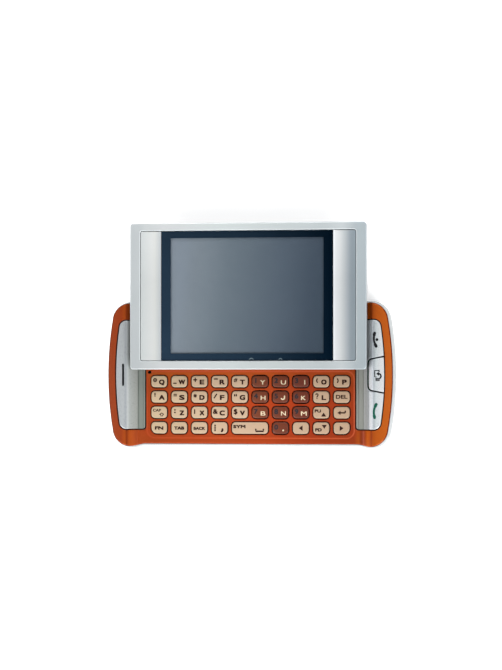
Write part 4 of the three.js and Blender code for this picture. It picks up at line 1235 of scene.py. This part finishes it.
# Small marks at the upper left of the letter keys, drawn from the middle of a key
SMALL_MARKS = {
    "@": drawn(arc(-1.5, 0.5, 0.6, -0.6, 5.2, 20), arc(-1.5, 0.5, 0.14, 0, 5.2, 8), width=0.34),
    "_": drawn([(-2.1, -0.66), (-1.1, -0.66)]),
    "+": drawn([(-2.1, 0.6), (-0.95, 0.6)], [(-1.52, 0.02), (-1.52, 1.18)]),
    "-": drawn([(-2.0, 0.92), (-0.8, 0.92)]),
    "#": drawn([(-1.95, -0.15), (-1.6, 1.15)], [(-1.4, -0.15), (-1.05, 1.15)], [(-2.15, 0.75), (-0.95, 0.75)],
               [(-2.25, 0.22), (-1.05, 0.22)], width=0.28),
    "!": drawn([(-1.55, 1.3), (-1.55, 0.8)], [(-1.55, 0.3), (-1.55, 0.28)], width=0.48),
    "=": drawn([(-2.0, 0.95), (-0.95, 0.95)], [(-2.0, 0.38), (-0.95, 0.38)], width=0.36),
    "*": drawn(*spokes(-1.55, 0.42, 0.6, 4), width=0.28),
    "/": drawn([(-2.0, -0.35), (-1.05, 1.0)]),
    '"': drawn([(-1.9, 0.9), (-1.9, 0.4)], [(-1.25, 0.9), (-1.25, 0.4)], width=0.48),
    ":": drawn([(-1.65, 0.9), (-1.55, 0.9)], [(-1.65, -0.05), (-1.55, -0.05)], width=0.58),
    "|": drawn([(-1.75, 1.0), (-1.75, -0.4)]),
    "?": drawn(arc(-1.55, 0.8, 0.42, 2.9, -0.7, 10) + [(-1.52, 0.2), (-1.52, 0.05)],
               [(-1.52, -0.5), (-1.52, -0.48)], width=0.42),
    "(": drawn(arc(-0.7, 0.35, 0.95, 2.4, 3.9, 10)),
    ")": drawn(arc(-2.25, 0.3, 0.95, -0.75, 0.75, 10)),
    "broken bar": drawn([(-1.65, 1.0), (-1.65, 0.7)], [(-1.65, 0.12), (-1.65, -0.12)],
                        [(-1.65, -0.7), (-1.65, -1.0)], width=0.54),
}

# The small mark of each key that has one
SMALL = {
    "q": "@", "w": "_", "e": "+", "r": "-", "t": "#", "y": "1", "u": "2", "i": "3", "o": "(", "p": ")",
    "a": "!", "s": "=", "d": "*", "f": "/", "g": '"', "h": "4", "j": "5", "k": "6", "l": "?",
    "z": ":", "x": "|", "c": "&", "v": "$", "b": "7", "n": "8", "m": "9", "comma": "broken bar", "zero": "0",
}

# The marks of the keys without a letter
HOLLOW_ARROW = [
    (0.2, -0.8), (1.0, -0.25), (1.8, -0.8), (1.45, -0.8), (1.3, -1.35), (0.7, -1.35), (0.55, -0.8),
    (0.2, -0.8),
]
OTHER_MARKS = {
    "delete": [lettering("DEL", 0, 0.1, 1.4, 4.3, 0.08)],
    "shift": [lettering("CAP", -0.8, 0.75, 1.0, 3.1, 0.05), drawn(HOLLOW_ARROW, width=0.34)],
    "up": [lettering("PU", -1.25, 0.6, 1.15, 2.35, 0.1), wedge(0.9, -0.7, 0.95, 0.72)],
    "enter": [drawn([(1.35, 0.55), (1.3, 0.1), (1.1, -0.05), (-0.6, -0.05)], width=0.56),
              wedge(-1.0, -0.05, -0.6, 0.8)],
    "fn": [lettering("FN", 0, -0.1, 1.3, 3.2)],
    "tab": [lettering("TAB", 0, -0.1, 1.2, 3.8, 0.11)],
    "back": [lettering("BACK", 0, -0.2, 1.1, 4.3, 0.09)],
    "comma": [drawn([(1.1, -0.5), (1.15, -0.8), (0.85, -1.25)], width=0.75)],
    "space": [lettering("SYM", -3.9, 0.5, 1.2, 4.6, 0.11),
              drawn([(2.2, -0.5), (2.2, -1.2), (5.0, -1.2), (5.0, -0.5)], width=0.6)],
    "zero": [polygon(circle(1.05, -0.85, 0.32, 14))],
    "left": [wedge(0, 0, -0.7, 1.0)],
    "right": [wedge(0, 0, 0.7, 1.0)],
    "down": [lettering("PD", -1.0, -0.6, 1.2, 2.45, 0.1), wedge(1.15, 0.5, 0.95, -0.72)],
}


def key_marks(name):
    """What is printed on a key: its large marks, and its small one if it has one."""
    yield joined(OTHER_MARKS.get(name) or [letter(name.upper(), name in BROWN_KEYS)])
    if name in SMALL:
        small = SMALL[name]
        yield SMALL_MARKS.get(small) or lettering(small, -1.55, 0.35, 1.8, bold=0.1)


def key_caps():
    for key in keys:
        name = key["name"]
        skirt = [(KEY_SKIRT, KEY_BOTTOM), (KEY_SKIRT, KEY_SKIRT_TOP - 0.02), (0, KEY_SKIRT_TOP - 0.01)]
        crown = [(-inset, PANEL_TOP + rise) for inset, rise in KEY_PROFILE]
        made = solid(stack(rings(lambda grow: key_outline(key, grow), [*skirt, *crown])))
        for index, marks in enumerate(key_marks(name), 1):
            lay(made, moved(marks, key["x"], key["y"]), index, key_height(key), 0.015)
        assign(made, 3, lambda x, y, z: z < PANEL_TOP)
        if name in BROWN_KEYS:
            names, slot = ["brown_key_plastic", "yellow_print", "grey_print", "gap_shade"], "brown_key"
        else:
            names, slot = ["beige_key_plastic", "brown_print", "brown_print", "gap_shade"], "beige_key"
        dress(made, f"key_{name}", f"key_{name}", names, 50)


# Sliding half

def slider_outline(inset):
    radius = max(SLIDER_CORNER - inset, 0.25)
    return rounded(2 * (SLIDER_HALF - inset), 2 * (SLIDER_HALF_DEPTH - inset), radius, y=TRAVEL)


def slider_block(inset, low, high):
    half_x, half_y = SLIDER_HALF - inset, SLIDER_HALF_DEPTH - inset
    return block(-half_x, half_x, TRAVEL - half_y, TRAVEL + half_y, low, high)


def fascia_outline(grow):
    radius = max(FASCIA_CORNER + grow, 0.2)
    return rounded(2 * (FASCIA_HALF + grow), FASCIA_DEPTH + 2 * grow, radius, y=FASCIA_Y)


def slider_frame():
    bottom = SLIDER_SPLIT + 0.1
    edge = [(inset, SLIDER_TOP - rise) for inset, rise in reversed(quarter_round(*FRAME_EDGE, 6))]
    made = solid(stack(rings(slider_outline, [(0.1, bottom), (0, bottom + 0.1), *edge])))
    throat = stack(rings(fascia_outline, [(-1.2, 15.8), (-1.2, 16.8)]))
    well = flared(fascia_outline, 16.6, SLIDER_TOP, FASCIA_FLARE)
    worked(made, cuts(slider_block(SLIDER_WALL, 0, FRAME_ROOF), throat, well))

    def on_wall(x, y, z):
        outside = abs(x) > SLIDER_HALF - 0.5 or abs(y - TRAVEL) > SLIDER_HALF_DEPTH - 0.5
        return outside and z < SLIDER_TOP - 0.4

    def on_edge(x, y, z):
        half_x, half_y = FASCIA_HALF + FASCIA_FLARE, FASCIA_DEPTH / 2 + FASCIA_FLARE
        return abs(x) < half_x and abs(y - FASCIA_Y) < half_y and SLIDER_TOP - 0.2 < z < SLIDER_TOP - HAIR

    # The side walls get painted shade, and the bevel round the well a painted highlight
    assign(made, 1, on_wall)
    assign(made, 2, on_edge)
    names = ["frame_silver", "frame_side_shaded_silver", "frame_edge_highlight_silver"]
    dress(made, "slider_frame", "slider", names)


def strip(start, end):
    """A silver strip beside the window, from left to right, slightly crowned."""
    edge = 0.28
    section = [(end, FASCIA_SHOULDER), (end, FASCIA_BOTTOM), (start, FASCIA_BOTTOM), (start, FASCIA_SHOULDER)]
    for share in between(0, 1, 24):
        x = start + edge + (end - start - 2 * edge) * share
        section.append((x, SLIDER_TOP - 0.25 * (2 * share - 1) ** 2))
    return along_y(section, TRAVEL - SLIDER_HALF_DEPTH, TRAVEL + SLIDER_HALF_DEPTH)


def front_fascia():
    depth = (TRAVEL - SLIDER_HALF_DEPTH, TRAVEL + SLIDER_HALF_DEPTH)
    made = solid(block(-FASCIA_HALF, FASCIA_HALF, *depth, FASCIA_BOTTOM, PLATE_TOP))
    window = (WINDOW_SHIFT - WINDOW_HALF, WINDOW_SHIFT + WINDOW_HALF)
    trim = stack(rings(fascia_outline, [
        (-FASCIA_GAP, FASCIA_BOTTOM), (-FASCIA_GAP, FASCIA_SHOULDER), (-FASCIA_GAP - 0.1, 17.68),
        (-FASCIA_GAP - 0.35, SLIDER_TOP + 0.1),
    ]))
    sight = rounded(DISPLAY[0] + 0.6, DISPLAY[1] + 0.6, 0.3, x=WINDOW_SHIFT, y=FASCIA_Y)
    worked(made, [
        ("UNION", strip(-FASCIA_HALF, window[0] - 0.1)), ("UNION", strip(window[1] + 0.1, FASCIA_HALF)),
        ("INTERSECT", trim), ("DIFFERENCE", stack([(sight, 16), (sight, 17.3)])),
    ])
    assign(made, 1, lambda x, y, z: window[0] - 0.05 < x < window[1] + 0.05)
    dress(made, "front_fascia", "slider", ["strip_silver", "window_border"])


def pane(inset):
    depth = FASCIA_DEPTH - 0.3 - 2 * inset
    return rounded(2 * (WINDOW_HALF - inset), depth, 0.25, 4, WINDOW_SHIFT, FASCIA_Y)


def display_window():
    edge = [(inset, WINDOW_TOP - rise) for inset, rise in reversed(quarter_round(0.2, 0.2, 3))]
    made = solid(stack(rings(pane, [(0, WINDOW_BOTTOM), *edge])))
    outer = pane(0.03)
    inner = rounded(*DISPLAY, 0.25, 4, WINDOW_SHIFT, FASCIA_Y)
    count = len(outer)
    faces = [(k, (k + 1) % count, (k + 1) % count + count, k + count) for k in range(count)]
    mask = ([(x, y, 0) for x, y in outer + inner], faces)
    low = FASCIA_Y - FASCIA_DEPTH / 2 + 0.55
    marks = []
    for x, wide, rise in [(1.35, 1.5, 0.9), (12.05, 1.1, 0.75)]:
        line = [(x + wide / 2 * t, low + 0.5 * rise * (1 - t * t)) for t in between(-1, 1, 12)]
        marks.append(stroke(line, 0.38))
    lay(made, mask, 1, lambda x, y: WINDOW_BOTTOM + 0.04, 0)
    lay(made, joined(marks), 2, lambda x, y: WINDOW_BOTTOM + 0.04, 0.02)
    dress(made, "display_window", "slider", ["clear_glass", "window_border", "border_mark"])


def display_module():
    def outline(grow):
        return rounded(DISPLAY[0] + 2 * grow, DISPLAY[1] + 2 * grow, 0.3, 3, WINDOW_SHIFT, FASCIA_Y)

    rim = DISPLAY_BOTTOM + 1.8
    tray = [(1.2, DISPLAY_BOTTOM), (1.2, rim - 0.1), (1.1, rim)]
    cell = [(0.6, rim), (0.6, DISPLAY_TOP - 0.1), (0.5, DISPLAY_TOP), (0.3, DISPLAY_TOP)]
    made = solid(stack(rings(outline, [*tray, *cell])))
    assign(made, 1, lambda x, y, z: z > DISPLAY_TOP - 0.01)
    dress(made, "display_module", "slider", ["dark_plastic", "liquid_crystal_painted_reflection"])


def slider_back_cover():
    edge = [(inset, SLIDER_BOTTOM + rise) for inset, rise in quarter_round(COVER_ROUND, COVER_ROUND, 7)]
    made = solid(stack(rings(slider_outline, [*edge, (0, SLIDER_SPLIT - 0.1), (0.1, SLIDER_SPLIT)])))
    tongue = slider_block(SLIDER_WALL + 0.15, SLIDER_SPLIT - 0.2, COVER_TOP)

    def pocket(grow):
        return rounded(2 * (RAIL_POCKET[0] + grow), 2 * (RAIL_POCKET[1] + grow), 0.3 + grow, 4, y=TRAVEL)

    well = stack(rings(pocket, [(0.2, 0), (0.2, SLIDER_BOTTOM), (0, SLIDER_BOTTOM + 0.2), (0, POCKET_ROOF)]))
    worked(made, [("UNION", tongue), ("DIFFERENCE", well)])
    dress(made, "slider_back_cover", "slider", ["dark_plastic"])


# CAD pieces that keep their own shape
CARRIED_OVER = {
    "battery": "battery_sleeve", "main_board": "board_lacquer", "keypad_sheet": "key_rubber",
    "earpiece": "dark_plastic", "fixed_rail_plate": "rail_sheet", "moving_rail_plate": "rail_sheet",
}

front_housing()
rear_cover()
battery_door()
left_end_plate()
right_end_strip()
end_mark = joined([handset(46.42, 12.75, -0.28), polygon(circle(46.98, 12.8, 0.54, 20))])
outer_key("end_key", 1, end_mark, "black_print")
shortcut_key()
outer_key("call_key", -1, handset(46.42, -13.2, 0.28), "green_print")
volume_rocker()
camera_module()
key_caps()
slider_frame()
front_fascia()
display_window()
display_module()
slider_back_cover()
for node, name in CARRIED_OVER.items():
    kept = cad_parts[node]
    if kept.material_slots:
        kept.material_slots[0].link = "OBJECT"
        kept.material_slots[0].material = looks[name]


# Floor, light and camera

# How far the floor reaches each way
FLOOR_REACH = 4000

# Light from below the paper: near the object, and two metres away
TABLE_GLOW = (0.3, 0.6)

# Brightness of the sky from the horizon to straight above, and its tint
SKY = [(0.0, 0.74), (0.25, 0.68), (0.5, 0.54), (0.75, 0.32), (0.9, 0.09), (0.97, 0.015), (1.0, 0.015)]
SKY_TINT = (0.97, 0.985, 1)
SKY_STRENGTH = 1.4

# The camera's lean in degrees, its distance in metres, its lens, and its shift in pixels of the photograph
VIEW_TILT = 7.2
VIEW_DISTANCE = 0.738
VIEW_LENS = 107.6
VIEW_SHIFT = (1.03, 39.75)
PICTURE_HEIGHT = 670


def floor():
    """A sheet of paper on a table that is lit a little from below."""
    made = solid(block(-FLOOR_REACH, FLOOR_REACH, -FLOOR_REACH, FLOOR_REACH, -20, 0), "floor")
    made.data.transform(Matrix.Scale(MM, 4))
    finish("floor_paper", (0.9, 0.9, 0.9), 0.01, rough=(0.6, 0.7), grain=60, mottle=4, depth=0.02)
    tree = looks["floor_paper"].node_tree
    place = add(tree, "ShaderNodeTexCoord").outputs["Object"]
    away = add(tree, "ShaderNodeVectorMath", {0: place}, operation="LENGTH").outputs["Value"]
    feed(tree, tree.nodes["Principled BSDF"], {
        "Emission Strength": ranged(tree, away, 0.3, 2, *TABLE_GLOW),
        "Emission Color": (1, 1, 1, 1),
    })
    made.data.materials.append(looks["floor_paper"])


def lamp(name, place, size, power, colour):
    """A lamp that faces the object."""
    light = bpy.data.lights.new(name, "AREA")
    light.shape = "RECTANGLE"
    light.size, light.size_y = size
    light.energy = power
    light.color = colour
    holder = bpy.data.objects.new(name, light)
    holder.location = place
    holder.rotation_euler = (-Vector(place)).to_track_quat("-Z", "Y").to_euler()
    bpy.context.scene.collection.objects.link(holder)


def surroundings():
    """Bright round the horizon and dim overhead, as in a studio with a dark card above the object."""
    world = bpy.data.worlds.new("studio")
    world.use_nodes = True
    tree = world.node_tree
    place = add(tree, "ShaderNodeTexCoord").outputs["Generated"]
    up = add(tree, "ShaderNodeSeparateXYZ", {"Vector": place}).outputs["Z"]
    stops = [(share, tuple(bright * tint for tint in SKY_TINT)) for share, bright in SKY]
    feed(tree, tree.nodes["Background"], {"Color": ramp(tree, up, stops), "Strength": SKY_STRENGTH})
    bpy.context.scene.world = world


def camera():
    """Almost straight above, a little to the right, as far away as the photograph's perspective says."""
    tilt = math.radians(VIEW_TILT)
    target = Vector((0, 0, DECK_TOP * MM))
    back = Vector((math.sin(tilt), 0, math.cos(tilt)))
    up = Vector((0, 1, 0))
    right = up.cross(back)
    lens = bpy.data.cameras.new("camera")
    lens.lens = VIEW_LENS
    lens.sensor_width = 36
    lens.shift_x = VIEW_SHIFT[0] / PICTURE_HEIGHT
    lens.shift_y = VIEW_SHIFT[1] / PICTURE_HEIGHT
    lens.clip_start = 0.01
    lens.clip_end = 50
    holder = bpy.data.objects.new("camera", lens)
    turn = Matrix((right, up, back)).transposed().to_4x4()
    holder.matrix_world = Matrix.Translation(target + back * VIEW_DISTANCE) @ turn
    bpy.context.scene.collection.objects.link(holder)
    bpy.context.scene.camera = holder


floor()
lamp("front_left", (-0.75, -0.75, 1.0), (0.9, 0.8), 20, (1, 0.995, 0.985))
lamp("front_right", (0.7, -0.8, 1.0), (0.9, 0.8), 21, (0.98, 0.99, 1))
lamp("back", (0.1, 1.1, 0.85), (1.4, 0.6), 13, (1, 1, 1))
surroundings()
camera()
bpy.context.scene.view_settings.view_transform = "Standard"
